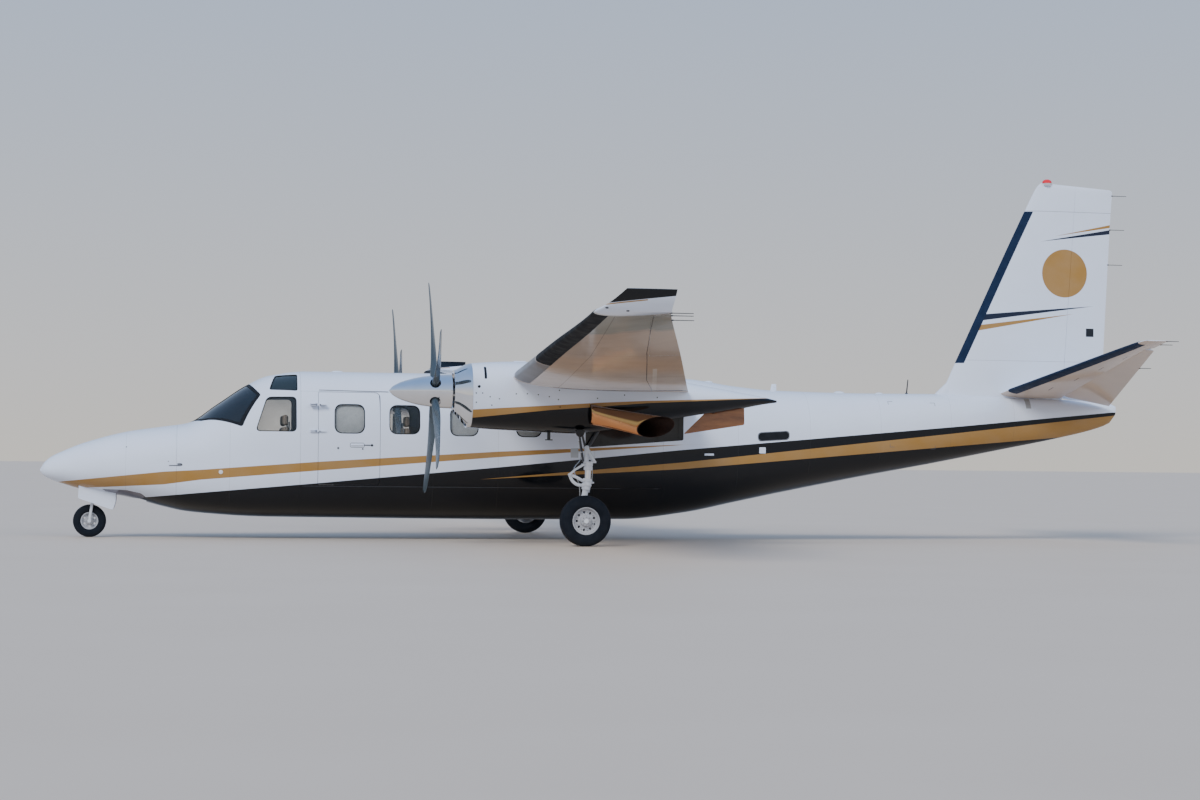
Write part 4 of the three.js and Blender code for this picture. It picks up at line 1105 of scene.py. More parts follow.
def build_wing():
    gap = 0.004
    parts = []
    for _, side in SIDES:
        parts += [
            wing_part(0.0, flap_from - gap, side),
            wing_part(flap_from - gap, flap_to + gap, side, end=flap_share - 0.0025),
            wing_part(flap_to + gap, wing_joint, side),
        ]
    piece("wing_centre_skin", together(*parts), "wing", "white_paint", "wing_centre")
    for word, side in SIDES:
        panel = together(
            wing_part(wing_joint + gap, aileron_from - gap, side),
            wing_part(aileron_from - gap, aileron_to + gap, side, end=aileron_share - 0.0012),
            wing_part(aileron_to + gap, wing_tip, side),
        )
        for node, shape in (
            ("flap", wing_part(flap_from, flap_to, side, start=flap_share)),
            ("wing", panel),
            ("aileron", wing_part(aileron_from, aileron_to, side, start=aileron_share)),
        ):
            piece(f"{node}_skin_{word}", shape, "wing", "white_paint", f"{node}_{word}")
        for name, low, high, proud, finish, slot in (
            ("wing_boot", boot_from + boot_strip, boot_to, boot_thick, "boot", "black_paint"),
            # The strip carries the underside's tan of painted ground reflection.
            ("wing_boot_strip", boot_from, boot_from + boot_strip, boot_thick, "reflected_tan", "white_paint"),
            ("wing_edge", edge_from, boot_from, 0.0015, "edge_grey", "blade_metal"),
        ):
            piece(f"{name}_{word}", wing_part(low, high, side, end="edge", grow=proud), finish, slot)


# Nacelles: cowling, polished intake ring with the chin scoop, exhaust stub

nacelle_y, thrust_z = 2.350, 1.680
nacelle_rows = [
    (4.515, 0.235, 1.905, 1.440, 1.680, 2.2, 2.2),
    (4.700, 0.320, 1.992, 1.290, 1.660, 2.4, 2.6),
    (5.200, 0.380, 2.017, 1.262, 1.650, 2.6, 2.8),
    (5.900, 0.385, 2.010, 1.238, 1.640, 2.6, 2.8),
    (6.400, 0.365, 1.965, 1.300, 1.630, 2.5, 2.6),
    (7.000, 0.290, 1.840, 1.408, 1.620, 2.3, 2.3),
    (7.620, 0.170, 1.735, 1.513, 1.622, 2.1, 2.1),
    (8.000, 0.070, 1.668, 1.590, 1.624, 2.0, 2.0),
    (8.144, 0.012, 1.634, 1.612, 1.623, 2.0, 2.0),
]
nacelles = {side: Body(nacelle_rows, side * nacelle_y) for _, side in SIDES}
ring_end, lip_x = 4.700, 4.535
intake_lip = (
    (4.524, 0.016), (4.516, 0.010), (4.513, 0.0), (4.516, -0.010), (4.526, -0.018), (4.56, -0.024),
)
scoop_rows = (
    (4.70, 0.0), (4.66, 0.0), (4.60, 0.0), (4.55, 0.001), (4.524, 0.003), (4.512, 0.007), (4.508, 0.013),
    (4.512, 0.019), (4.53, 0.022), (4.58, 0.023), (4.70, 0.023),
)
scoop_low, scoop_high = 1.285, 1.590
mouth_rise = 0.173
bay_plan = ((5.86, -0.262), (6.90, -0.262), (7.42, -0.150), (7.42, 0.10), (6.90, 0.15), (5.86, 0.15))


def oblong(x, centre_y, low, high, half):
    """An upright ring of rounded-square outline."""
    around = 72
    y, z = squared(*turn(around), half, (high - low) / 2, 3.4)
    return np.stack([np.full(around, x), centre_y + y, (low + high) / 2 + z], 1)


def exhaust_ring(side, share, inset=0.0):
    """From an upright ring, half sunk in the cowling, to the long mouth that faces outboard."""
    around = 48
    c, s = turn(around)
    (x0, y0, z0), (x1, y1, z1) = exhaust_from, exhaust_to
    front = np.stack([np.full(around, x0), side * (y0 - (0.118 - inset) * c), z0 + (0.111 - inset) * s], 1)
    aft = (0.2025 - inset) * c
    mouth = np.stack([x1 + aft, np.full(around, side * y1), z1 + (0.1075 - inset) * s + mouth_rise * aft], 1)
    return front * (1 - share) + mouth * share


def exhaust_sleeve(name, side, shares, outer, inner, finish, *nodes, angle=40):
    """A pipe between two insets from the exhaust's outline."""
    rings = [exhaust_ring(side, t, outer) for t in shares]
    rings += [exhaust_ring(side, t, inner) for t in shares[::-1]]
    return place(ringed(name, rings, finish, angle), "airframe", "exhaust_metal", *nodes)


def ringed(name, rings, finish, angle=40):
    """A welded solid over rings, the last joined to the first."""
    return welded(solid(name, loft(rings + rings[:1], capped=False), M[finish], angle))


def build_nacelle(word, side):
    body = nacelles[side]
    centre_y = side * nacelle_y
    cowl = solid(f"nacelle_skin_{word}", body.loft(ring_end + 0.0015, 8.144, step=0.05), M["nacelle"])
    bay = loft([[(x, centre_y + side * out, z) for x, out in bay_plan] for z in (1.1, 1.56)])
    stub = loft([exhaust_ring(side, share, -0.006) for share in (0.0, 1.0)])
    carve(cowl, body.loft(4.60, 7.7, 0.012, step=0.05), bay, stub)
    place(skin_shading(cowl, body), "airframe", "white_paint", f"nacelle_{word}")

    start = body.ring(lip_x, 96) - (lip_x, centre_y, thrust_z)
    scales = [(x, 1 + (out - 0.016) / 0.235) for x, out in intake_lip] + [(4.62, 0.80), (4.69, 0.80)]
    rings = [body.ring(x, 96) for x in np.linspace(ring_end, 4.545, 9)]
    rings += [start * (1, scale, scale) + (x, centre_y, thrust_z) for x, scale in scales]
    ring = ringed(f"intake_ring_skin_{word}", rings, "chrome")
    carve(ring, loft([oblong(x, centre_y, 1.298, 1.570, 0.142) for x in (4.40, 4.71)]))
    smoothed(ring, 35)
    rings = [oblong(x, centre_y, scoop_low + i, scoop_high - i, 0.160 - i) for x, i in scoop_rows]
    for points in rings:
        share = np.interp(points[:, 2], (scoop_low, scoop_high), (0.22, 0.50))
        points[:, 0] = ring_end - (ring_end - points[:, 0]) * share
    ring = merged(f"intake_ring_skin_{word}", [ring, ringed("scoop", rings, "chrome")])
    place(ring, "airframe", "chrome", f"intake_ring_{word}")
    shares = np.linspace(0, 1, 14)
    exhaust_sleeve(f"exhaust_pipe_{word}", side, shares, 0.0, 0.003, "copper", f"exhaust_{word}")


def welded(obj):
    """Merges points that lie in one place."""
    work = bmesh.new()
    work.from_mesh(obj.data)
    bmesh.ops.remove_doubles(work, verts=work.verts, dist=WELD)
    bmesh.ops.recalc_face_normals(work, faces=work.faces)
    work.to_mesh(obj.data)
    work.free()
    return obj


# Propellers: five blades on a hub, with a polished spinner. Blade rows: reach from the axis, chord,
# thickness, pitch from the disc in degrees, sweep of the mid-chord.

propeller_x, blade_count, first_blade = 4.310, 5, -12.5
blade_rows = (
    (0.060, 0.084, 0.084, 60, 0), (0.215, 0.084, 0.080, 60, 0), (0.330, 0.108, 0.036, 40, 0.004),
    (0.560, 0.140, 0.024, 24, 0.010), (0.860, 0.146, 0.018, 15, 0.004), (1.080, 0.130, 0.014, 13, -0.010),
    (1.180, 0.104, 0.012, 13, -0.022), (1.214, 0.060, 0.009, 13, -0.030),
)
blade_curves = curves_of(blade_rows)
blade_tip = blade_rows[-1][0]
hub_rows = (
    (4.22, 0), (4.22, 0.100), (4.23, 0.108), (4.40, 0.108), (4.41, 0.055), (4.74, 0.055), (4.74, 0),
)
spinner_tip, spinner_length = 3.817, 0.675
spinner_rows = (
    (spinner_tip, 0.0), (3.860, 0.050), (3.980, 0.108), (4.190, 0.160), (4.400, 0.183), (4.492, 0.186),
)
spinner_inside = [
    (4.498, 0.185), (4.500, 0.183), (4.500, 0.172), (4.40, 0.176), (4.19, 0.152), (3.99, 0.10), (3.86, 0.03),
    (3.855, 0),
]


def blade_direction(k):
    angle = math.radians(first_blade + 360 / blade_count * k)
    return 0.0, -math.sin(angle), math.cos(angle)


def blade(centre_y, direction):
    _, dy, dz = direction
    c, s = turn(28)
    rings = []
    for reach in spaced((0.06, 0.34, 10), (0.37, 1.08, 18), (1.10, blade_tip, 12)):
        chord, thick, pitch, sweep = (float(curve(reach)) for curve in blade_curves)
        pitch = math.radians(pitch)
        across, deep = chord / 2 * c + sweep, thick / 2 * s
        forward = 0.042 * (reach / blade_tip) ** 2
        along = across * math.sin(pitch) + deep * math.cos(pitch) - forward
        aside = across * math.cos(pitch) - deep * math.sin(pitch)
        y, z = centre_y + dy * reach + dz * aside, thrust_z + dz * reach - dy * aside
        rings.append(np.stack([propeller_x + along, y, z], 1))
    return loft(rings)


def build_propeller(word, side):
    body = f"propeller_{word}"
    centre = np.array([0, side * nacelle_y, thrust_z])
    directions = [blade_direction(k) for k in range(blade_count)]
    blades = together(*[blade(centre[1], direction) for direction in directions])
    piece(f"blades_{word}", blades, "blade", "blade_metal", f"propeller_{word}", body=body, angle=60)
    hub = revolved(cap_profile(hub_rows), "x", centre)
    piece(f"hub_{word}", hub, "steel", "engine_metal", body=body)
    outline = smooth_curve(*zip(*spinner_rows))
    profile = []
    for x in spinner_tip + spinner_length * np.linspace(0, 1, 28) ** 1.8:
        blunt = 0.36 * math.sqrt(max(x - spinner_tip, 0))
        profile.append((x, float(min(outline(x), blunt))))
    profile += spinner_inside
    shape = revolved(cap_profile(profile), "x", centre, 96)
    spinner = solid(f"spinner_skin_{word}", shape, M["chrome"])
    at = centre + (propeller_x, 0, 0)
    for direction in directions:
        carve(spinner, tube([at + np.array(direction) * reach for reach in (0.12, 0.26)], 0.060, 40))
    shade_like(spinner, shape)
    place(spinner, body, "chrome", f"spinner_{word}")


def shade_like(obj, shape):
    """Shades the faces that lie on the uncut shape's skin by that shape's smooth normals."""
    source = solid("source", shape, smooth_angle=180)
    mesh = source.data
    tree = BVHTree.FromPolygons([v.co for v in mesh.vertices], [p.vertices for p in mesh.polygons])
    smooth = [v.normal.copy() for v in mesh.vertices]
    found = []
    for vertex in obj.data.vertices:
        spot, _, index, _ = tree.find_nearest(vertex.co)
        corners = mesh.polygons[index].vertices
        weights = poly_3d_calc([mesh.vertices[i].co for i in corners], spot)
        found.append(sum((smooth[i] * w for i, w in zip(corners, weights)), Vector()).normalized())
    bpy.data.objects.remove(source)
    return shade_by(obj, np.array(found))


# Tail: fin and rudder, stabiliser, elevators. Fin rows: level, leading and trailing edge, thickness.

fin_rows = (
    (1.700, 10.735, 12.915, 0.158), (1.860, 10.850, 12.920, 0.148), (2.209, 11.015, 12.935, 0.136),
    (4.117, 11.907, 13.030, 0.084), (4.380, 12.040, 13.046, 0.054), (4.440, 12.085, 13.044, 0.036),
    (4.464, 12.115, 13.015, 0.012),
)
fin_low, fin_top, rudder_low = 1.700, 4.464, 1.885
fall_from, top_fall = 4.250, 0.071  # above this level the rings tilt down aft, by the metre
hinge_foot, hinge_lean = 12.395, 0.165 / 2.62  # the rudder's hinge line at its lower end, and its slope
fin_curves = curves_of(fin_rows)
tail_level, tail_rise = 1.815, math.tan(math.radians(10.1))
tail_rows = (
    (0.000, 11.559, 12.992, 0.112), (2.650, 12.124, 12.478, 0.058), (2.900, 12.178, 12.486, 0.044),
    (3.000, 12.215, 12.484, 0.022), (3.020, 12.240, 12.482, 0.010),
)
tail_curves = curves_of(tail_rows)
tail_joint = 2.656  # where the stabiliser's middle part ends
elevator_hinge, elevator_from, elevator_to = 12.362, 0.135, 2.648
elevator_trails = 12.965, 12.478  # at its inner and outer end
elevator_fall = 0.25  # of its middle surface, for each metre aft
rod_x, rod_z = 12.408, 1.842  # the rod that joins its halves


def section_ring(lead, chord, thick, start, end, grow):
    """Stations and heights of a symmetric section between two shares of its chord."""
    share = chord_shares(start, end, 20)
    half = half_section(share) * thick / 2 + 0.0012 * share + grow
    x = lead + share * chord - grow * (1 - share) ** 12
    first = 1 if start == 0 else 0
    return np.concatenate([x[::-1], x[first:]]), np.concatenate([half[::-1], -half[first:]])


def fin_ring(z, start=0.0, end=1.0, grow=0.0):
    lead, trail, thick = (float(curve(z)) for curve in fin_curves)
    hinge = (hinge_foot + (z - 1.88) * hinge_lean - lead) / (trail - lead)
    shares = {"hinge-": hinge - 0.0010, "hinge+": hinge + 0.0006, "boot": 0.10 / (trail - lead)}
    x, y = section_ring(lead, trail - lead, thick, shares.get(start, start), shares.get(end, end), grow)
    fall = top_fall * min(max((z - fall_from) / (fin_top - fall_from), 0), 1)
    return np.stack([x, y, z - fall * (x - 12.10)], 1)


def fin_part(low, high, finish, name, slot, *nodes, **section):
    stops = stops_between(low, high, (fin_low, 4.34, 34), (4.36, fin_top, 12), clear=0.003)
    piece(name, loft([fin_ring(z, **section) for z in stops]), finish, slot, *nodes)


def tail_ring(y, start=0.0, end=1.0, grow=0.0):
    lead, trail, thick = (float(curve(abs(y))) for curve in tail_curves)
    if end == "boot":
        end = float(np.interp(abs(y), (0.0, 2.9), (0.112, 0.085))) / (trail - lead)
    elif abs(y) <= tail_joint:
        end = min(end, (elevator_hinge - 0.002 - lead) / (trail - lead))
    x, height = section_ring(lead, trail - lead, thick, start, end, grow)
    return np.stack([x, np.full(len(x), y), tail_level + abs(y) * tail_rise + height], 1)


def elevator_trail(y):
    return float(np.interp(y, (elevator_from, elevator_to), elevator_trails))


def elevator_ring(y, side):
    chord = elevator_trail(y) - elevator_hinge - 0.002
    thick = np.interp(y, (elevator_from, elevator_to), (0.074, 0.036))
    share = np.linspace(0, 1, 9)
    half = np.interp(share, (0, 0.06, 0.5, 1), (0.36, 0.5, 0.27, 0.025)) * thick
    x = elevator_hinge + 0.002 + share * chord
    z = tail_level + y * tail_rise - share * chord * elevator_fall
    rows = np.concatenate([x[::-1], x]), np.full(18, side * y), np.concatenate([(z + half)[::-1], z - half])
    return np.stack(rows, 1)


def build_tail():
    fin_part(fin_low, fin_top, "fin", "fin_skin", "white_paint", "fin", end="hinge-")
    fin_part(rudder_low, fin_top, "fin", "rudder_skin", "white_paint", "rudder", start="hinge+")
    fin_part(2.198, 4.10, "navy_boot", "fin_boot", "black_paint", end="boot", grow=boot_thick)
    parts = [loft([tail_ring(y) for y in np.linspace(-tail_joint, tail_joint, 53)])]
    boots, halves = [], []
    for _, side in SIDES:
        parts.append(loft([tail_ring(side * y) for y in spaced((2.657, 2.9, 6), (2.92, 3.02, 10))]))
        edge = [tail_ring(side * y, end="boot", grow=boot_thick) for y in np.linspace(0.25, 2.90, 27)]
        boots.append(loft(edge))
        halves.append(loft([elevator_ring(y, side) for y in np.linspace(elevator_from, elevator_to, 26)]))
    piece("stabiliser_skin", together(*parts), "tailplane", "white_paint", "stabiliser")
    piece("stabiliser_boots", together(*boots), "navy_boot", "black_paint")
    rod = tube([(rod_x, y, rod_z) for y in (-0.2, 0.2)], 0.024, 24)
    piece("elevator_skin", together(*halves, rod), "tailplane", "white_paint", "elevator", angle=25)


# Wheels and landing gear

main_x, main_y, main_z, leg_y = 5.992, 2.350, 0.280, 2.165
nose_wheel_x, nose_wheel_z, nose_rake = 0.567, 0.188, 0.138
# Radius, width, rim, bore, number of holes and their radius as a share of the rim's, number of bolts
main_wheel = 0.280, 0.200, 0.152, 0.0265, 9, 0.095, 8
nose_wheel = 0.188, 0.130, 0.100, 0.0145, 6, 0.125, 6
tyre_side = (
    (0.86, 0.10), (0.97, 0.26), (1.00, 0.46), (0.985, 0.62), (0.93, 0.78), (0.83, 0.90), (0.68, 0.965),
)
groove_depth, hole_ring = 0.007, 0.52


def wheel(word, centre, body, radius, width, rim, bore, holes, hole, bolts):
    """Tyre and rim. The profiles run across the wheel and are given as share of half-width, radius."""
    half, shoulder = width / 2, radius - rim
    side = [(0.70, rim + 0.0005), *[(across, rim + share * shoulder) for across, share in tyre_side]]
    side.append((0.54, radius - 0.002))
    tread = []
    for groove in (-0.36, -0.12, 0.12, 0.36):
        for across, deep in ((-0.035, 0), (-0.025, groove_depth), (0.025, groove_depth), (0.035, 0)):
            tread.append((groove + across, radius - deep))
    profile = [(-half * s, r) for s, r in side] + [(half * s, r) for s, r in tread + side[::-1]]
    tyre = revolved(profile, "y", centre, 96)
    piece(f"tyre_rubber_{word}", tyre, "tyre", "tyre_rubber", f"tyre_{word}", body=body, angle=24)
    half_rim = [
        (0.74, rim), (0.755, rim - 0.004), (0.74, rim - 0.010), (0.66, rim - 0.016), (0.42, rim - 0.024),
        (0.36, rim - 0.034), (0.34, bore + 0.050), (0.38, bore + 0.036), (0.66, bore + 0.030),
        (0.70, bore + 0.024), (0.72, bore + 0.0005),
    ]
    profile = [(-half * s, r) for s, r in half_rim[::-1]] + [(half * s, r) for s, r in half_rim]
    made = solid(f"rim_metal_{word}", revolved(profile, "y", centre, 72), M["rim"], 28)
    middle = np.array(centre)
    reach = bore + 0.050 + (rim - 0.034 - bore - 0.050) * hole_ring
    cutters = []
    for k in range(holes):
        a = 2 * math.pi * (k + 0.5) / holes
        at = middle + (reach * math.cos(a), 0, reach * math.sin(a))
        cutters.append(tube([at - (0, half, 0), at + (0, half, 0)], hole * rim))
    carve(made, together(*cutters))
    smoothed(made, 28)
    place(made, body, "wheel_metal", f"rim_{word}")
    parts = []
    for count, out, across, length, size in (
        (bolts, bore + 0.018, 0.66, 0.010 + 0.03 * half, 0.0055),
        (holes, reach * 1.03, 0.33, 0.012, 0.0048),
    ):
        for c, s in zip(*turn(count)):
            for face in (-half, half):
                at = middle + (out * c, face * across, out * s)
                parts.append(tube([at, at + (0, math.copysign(length, face), 0)], size, 6))
    piece(f"wheel_bolts_{word}", together(*parts), "steel", "wheel_metal", body=body)


leg_levels = (0.28, 0.58, 0.70, 0.90, 1.08)
leg_stations = (5.992, 6.014, 6.044, 6.052, 6.058)
leg_collars = (
    (0.250, 0.560, [(0, 0.046), (0.05, 0.050), (0.30, 0.046), (0.40, 0.040), (0.96, 0.036), (1, 0.034)], 36),
    (0.550, 0.622, [(0, 0.036), (0.08, 0.036), (0.12, 0.033), (0.88, 0.033), (0.92, 0.036), (1, 0.036)], 36),
    (0.618, 0.662, [(0, 0.044), (0.10, 0.047), (0.90, 0.047), (1, 0.044)], 36),
    (0.657, 0.742, [(0, 0.046), (0.10, 0.054), (0.32, 0.054), (0.36, 0.047), (0.66, 0.047), (0.70, 0.054),
                    (0.92, 0.054), (1, 0.048)], 40),
    (0.836, 0.918, [(0, 0.044), (0.08, 0.050), (0.40, 0.050), (0.44, 0.046), (0.60, 0.046), (0.64, 0.051),
                    (1, 0.051)], 40),
    (0.914, 0.936, [(0, 0.052), (0.2, 0.058), (0.8, 0.058), (1, 0.050)], 40),
)
link_top, link_low = (5.992, 0.718), (5.992, 0.668)  # the torque links' ends on the leg
leg_pins = ((5.990, 0.896, 0.042, 0.016), (5.992, 0.724, 0.042, 0.016), (5.992, 0.668, 0.042, 0.014),
            (5.843, 0.787, 0.036, 0.015))
knee_x, knee_z = leg_pins[-1][:2]


def leg_station(z):
    """The main leg leans a little aft going up."""
    return float(np.interp(z, leg_levels, leg_stations))


def build_main_gear(word, side):
    """Leg with collars, pins and torque links, struts, piston, lines and brake."""
    y = side * leg_y

    def at(x, z, out=0.0):
        return x, y + side * out, z

    def on_leg(z, aft=0.0, out=0.0):
        return at(leg_station(z) + aft, z, out)

    def collar(low, high, steps, sides):
        return stepped(on_leg(low), on_leg(high), steps, sides)

    def cross_pin(x, z, half, radius):
        ends = [(0, radius * 0.75), (0.05, radius), (0.95, radius), (1, radius * 0.75)]
        return stepped((x, y - half, z), (x, y + half, z), ends, 20)

    def plug(start, end, wide, narrow, share):
        """A short fitting with a thinner end."""
        return stepped(start, end, [(0, wide), (share, wide), (share + 0.02, narrow), (1, narrow)], 12)

    def axle_bar(start, end, steps, sides):
        return stepped((main_x, side * start, main_z), (main_x, side * end, main_z), steps, sides)

    knee = at(knee_x, knee_z)
    column = [collar(*row) for row in leg_collars]
    column += [
        block(at(6.090, 0.916, -0.020), at(6.138, 0.940, 0.020)),
        tube([at(6.022, 1.088), at(6.026, 1.000), at(6.032, 0.925)], (0.018, 0.020, 0.030), 18),
        tube([at(6.030, 1.086), at(6.072, 1.010), at(6.112, 0.932)], (0.018, 0.022, 0.024), 18),
        tube([at(6.020, 0.965), at(6.090, 0.962)], 0.012, 12),
        cross_pin(6.026, 1.086, 0.060, 0.026),
        axle_bar(2.125, 2.436, [(0, 0.026), (1, 0.026)], 28),
        axle_bar(2.120, 2.150, [(0, 0.034), (0.8, 0.034), (1, 0.03)], 6),
        *[cross_pin(*row) for row in leg_pins],
        plug(on_leg(0.985, 0.030), on_leg(0.982, 0.070), 0.012, 0.007, 0.7),
        plug(on_leg(0.700, 0.040), on_leg(0.698, 0.074), 0.014, 0.008, 0.6),
        block(on_leg(0.590, -0.004, -0.052), on_leg(0.625, 0.050, -0.030)),
        tube(hose([at(*link_top), at(5.925, 0.755), knee], 12), 0.013, 14, 1.3),
        tube(hose([at(*link_low), at(5.938, 0.673), at(5.872, 0.722), knee], 16), 0.014, 14, 1.3),
    ]
    for out in (-0.026, 0.026):
        arm = [(5.992, y + out, 0.894), (5.905, y + out * 0.8, 0.842), (knee_x, y + out * 0.6, knee_z)]
        column.append(tube(arm, (0.013, 0.010, 0.012), 12))
    column.append(tube([at(5.900, 1.030), at(6.026, 1.040)], 0.012, 12))
    struts = [
        tube([at(6.020, 1.075), at(5.974, 1.248), at(5.905, 1.660)], (0.013, 0.012, 0.015)),
        tube([at(5.996, 0.925), at(5.944, 1.248), at(5.885, 1.660)], (0.013, 0.012, 0.015)),
        tube([at(6.030, 1.060), at(6.200, 1.345), at(6.420, 1.640)], (0.019, 0.022, 0.019), 20),
    ]
    brake_line = [
        at(5.952, 1.16, -0.06), on_leg(0.98, -0.075, -0.06), at(5.900, 0.84, -0.06),
        on_leg(0.66, -0.07, -0.055), on_leg(0.46, -0.03, -0.060), on_leg(0.36, -0.01, -0.052),
    ]
    second_line = [
        on_leg(1.06, 0.02, -0.045), on_leg(0.96, 0.05, -0.05), on_leg(0.80, 0.058, -0.052),
        on_leg(0.69, 0.056, -0.05),
    ]
    lines = tube(hose(brake_line), 0.0055, 10), tube(hose(second_line), 0.004, 8)
    brake_rows = ((2.205, 0.030), (2.205, 0.105), (2.216, 0.112), (2.262, 0.112), (2.262, 0.030))
    brake = revolved([(side * out, radius) for out, radius in brake_rows], "y", (main_x, 0, main_z))
    box = block(at(5.858, 0.974, -0.030), at(5.934, 1.078, 0.030))
    piston = collar(0.738, 0.840, [(0, 0.0345), (1, 0.0345)], 40)
    leg = together(*column)
    piece(f"main_leg_metal_{word}", leg, "gear", "gear_paint", f"main_leg_{word}", angle=32)
    for name, shape, finish, slot in (
        ("actuator_box", box, "grey", "gear_paint"),
        ("main_piston", piston, "chrome", "chrome"),
        ("main_struts", together(*struts), "strut", "engine_metal"),
        ("brake_lines", together(*lines), "steel", "engine_metal"),
        ("brake_stack", brake, "steel", "engine_metal"),
    ):
        piece(f"{name}_{word}", shape, finish, slot)


def hose(points, count=28):
    """A smooth path through the points."""
    points = np.array(points, float)
    at = np.linspace(0, 1, len(points))
    curves = [smooth_curve(at, column) for column in points.T]
    return np.stack([curve(np.linspace(0, 1, count)) for curve in curves], 1)


def build_main_doors(word, side):
    edge = nacelle_y + bay_plan[0][1]
    leg_door = [(6.03, 1.44), (6.03, 1.088), (7.14, 1.18), (7.14, 1.47)]
    plate = prism([(x, side * (edge + 0.0063), z) for x, z in leg_door], radius=0.02, reach=0.006, bend=4)
    taper = 0.18
    wheel_door = [(7.135, 1.250), (7.370, 1.490), (7.420, 1.560), (7.800, 1.620), (7.805, 1.360)]
    wheel_door_x, wheel_door_y = 7.17, 2.125
    corners = [(x, side * (wheel_door_y + (x - wheel_door_x) * taper), z) for x, z in wheel_door]
    shape = prism(corners, (-side * taper, 1, 0), 0.02, 0.006, bend=4)
    rear = solid(f"wheel_door_{word}", shape, M["door_inside"])
    carve(rear, nacelles[side].loft(6.9, 8.1, -0.0005, 64, 0.05))
    smoothed(rear)
    place(rear, "airframe", "black_paint")
    rail_end = (7.440, side * (wheel_door_y + 0.27 * taper), 1.500)
    rail = tube([(7.110, side * (edge + 0.010), 1.445), rail_end], 0.009, 12)
    ribs = [
        block((x, side * (edge + 0.013), 1.12 + (x - 6.03) * 0.08), (x + 0.018, side * (edge + 0.024), 1.43))
        for x in (6.20, 6.52, 6.84, 7.08)
    ]
    piece(f"leg_door_{word}", together(plate, rail, *ribs), "black", "black_paint", f"main_door_{word}")


def leg_at(z, y=0.0):
    """A point on the raked nose leg's axis, or beside it."""
    return nose_wheel_x + nose_rake * (z - nose_wheel_z), y, z


def build_nose_gear():
    leg_steps = [
        (0, 0.044), (0.55, 0.044), (0.57, 0.050), (0.70, 0.050), (0.72, 0.044), (0.97, 0.044), (1, 0.040),
    ]
    leg = together(
        stepped(leg_at(0.858), leg_at(0.455), leg_steps, 36),
        tube([leg_at(0.60), (1.000, 0, 0.858)], 0.020, 20),
        bar(leg_at(0.60, -0.07), leg_at(0.60, 0.07), 0.018, 20),
    )
    piece("nose_leg_metal", leg, "gear", "gear_paint", "nose_leg")
    crown, foot = 0.415, 0.087
    arm_radii = np.interp(np.linspace(0, 1, 20), (0, 0.3, 0.9, 1), (0.022, 0.017, 0.015, 0.020))
    fork = [
        stepped(leg_at(0.4544), leg_at(0.395), [(0, 0.034), (0.4, 0.034), (0.42, 0.042), (1, 0.040)], 32),
        tube([leg_at(crown, -0.080), leg_at(crown, 0.080)], 0.024, 24),
    ]
    for start, end, radius, sides in (
        (-0.109, 0.109, 0.014, 24), (-0.107, -0.095, 0.022, 6), (0.095, 0.107, 0.022, 6),
    ):
        ends = [(nose_wheel_x, y, nose_wheel_z) for y in (start, end)]
        fork.append(bar(*ends, radius, sides))
    for _, side in SIDES:
        x = leg_at(crown)[0]
        path = [
            (x, side * 0.055, crown + 0.006), (x, side * 0.080, crown - 0.004),
            (leg_at(crown - 0.03)[0], side * 0.0865, crown - 0.035),
            (nose_wheel_x + 0.01, side * foot, 0.25), (nose_wheel_x, side * foot, 0.172),
        ]
        fork.append(tube(hose(path, 20), arm_radii, 20, 0.8))
    fork = together(*fork)
    piece("nose_fork_metal", fork, "gear", "gear_paint", "nose_fork", body="nose_steering", angle=40)
    for word, side in SIDES:
        outline = ((0.450, 0.640), (0.440, 0.450), (0.835, 0.318), (0.865, 0.420), (0.865, 0.640))
        door = prism([(x, side * 0.1747, z) for x, z in outline], radius=0.022, reach=0.005, bend=5)
        piece(f"nose_door_skin_{word}", door, "white", "white_paint", f"nose_door_{word}")


# Interior: seats with padded cushions, instrument panel, yokes, blinds, and the kept CAD nodes' surfaces

floor_top = 0.615
seat_rows = (
    ("crew", 2.300, -0.300, 0.230, 1), ("crew", 2.300, 0.300, 0.230, 1),
    ("left", 4.250, -0.340, 0.200, -1), ("left", 4.700, -0.340, 0.200, -1),
    ("right", 3.450, 0.340, 0.200, -1), ("right", 4.000, 0.340, 0.200, 1), ("right", 4.700, 0.340, 0.200, 1),
)
seat_length, back_thick = 0.430, 0.110


def cushion_plan(angle):
    """A rounded square whose sides are drawn in between the corners."""
    drawn = 1 - 0.018 * np.cos(2 * angle) ** 2
    return [drawn * part for part in squared(np.cos(angle), np.sin(angle), 1, 1, 7)]


def box_frame(low, high, axis):
    """Middle and half-sizes of a box, and its two axes apart from one."""
    low, high = np.array(low, float), np.array(high, float)
    return (low + high) / 2, (high - low) / 2, [i for i in range(3) if i != axis]


def pillow(low, high, axis, channels):
    """A crowned cushion that fills a box: thin along axis, with a pinched seam around it and sewn channels
    across."""
    centre, half, (a, b) = box_frame(low, high, axis)
    around, rings = 56, 26
    plan = cushion_plan(np.linspace(0, 2 * math.pi, around, endpoint=False))
    rows = []
    for tilt in np.linspace(-0.498 * math.pi, 0.498 * math.pi, rings):
        lift = math.copysign(abs(math.sin(tilt)) ** 0.75, tilt)
        side = abs(math.cos(tilt)) ** 0.30 * (1 - 0.022 * math.exp(-(lift / 0.07) ** 2))
        ring = np.zeros((around, 3))
        x, y = plan[0] * side, plan[1] * side
        dip = 1 - 0.10 * np.clip(np.cos(math.pi * channels * x), 0, 1) ** 6 if channels else 1.0
        ring[:, a], ring[:, b] = half[a] * x, half[b] * y
        ring[:, axis] = half[axis] * 0.98 * lift * (1 - 0.16 * x**2 - 0.10 * y**2) * dip
        rows.append(ring + centre)
    return loft(rows)


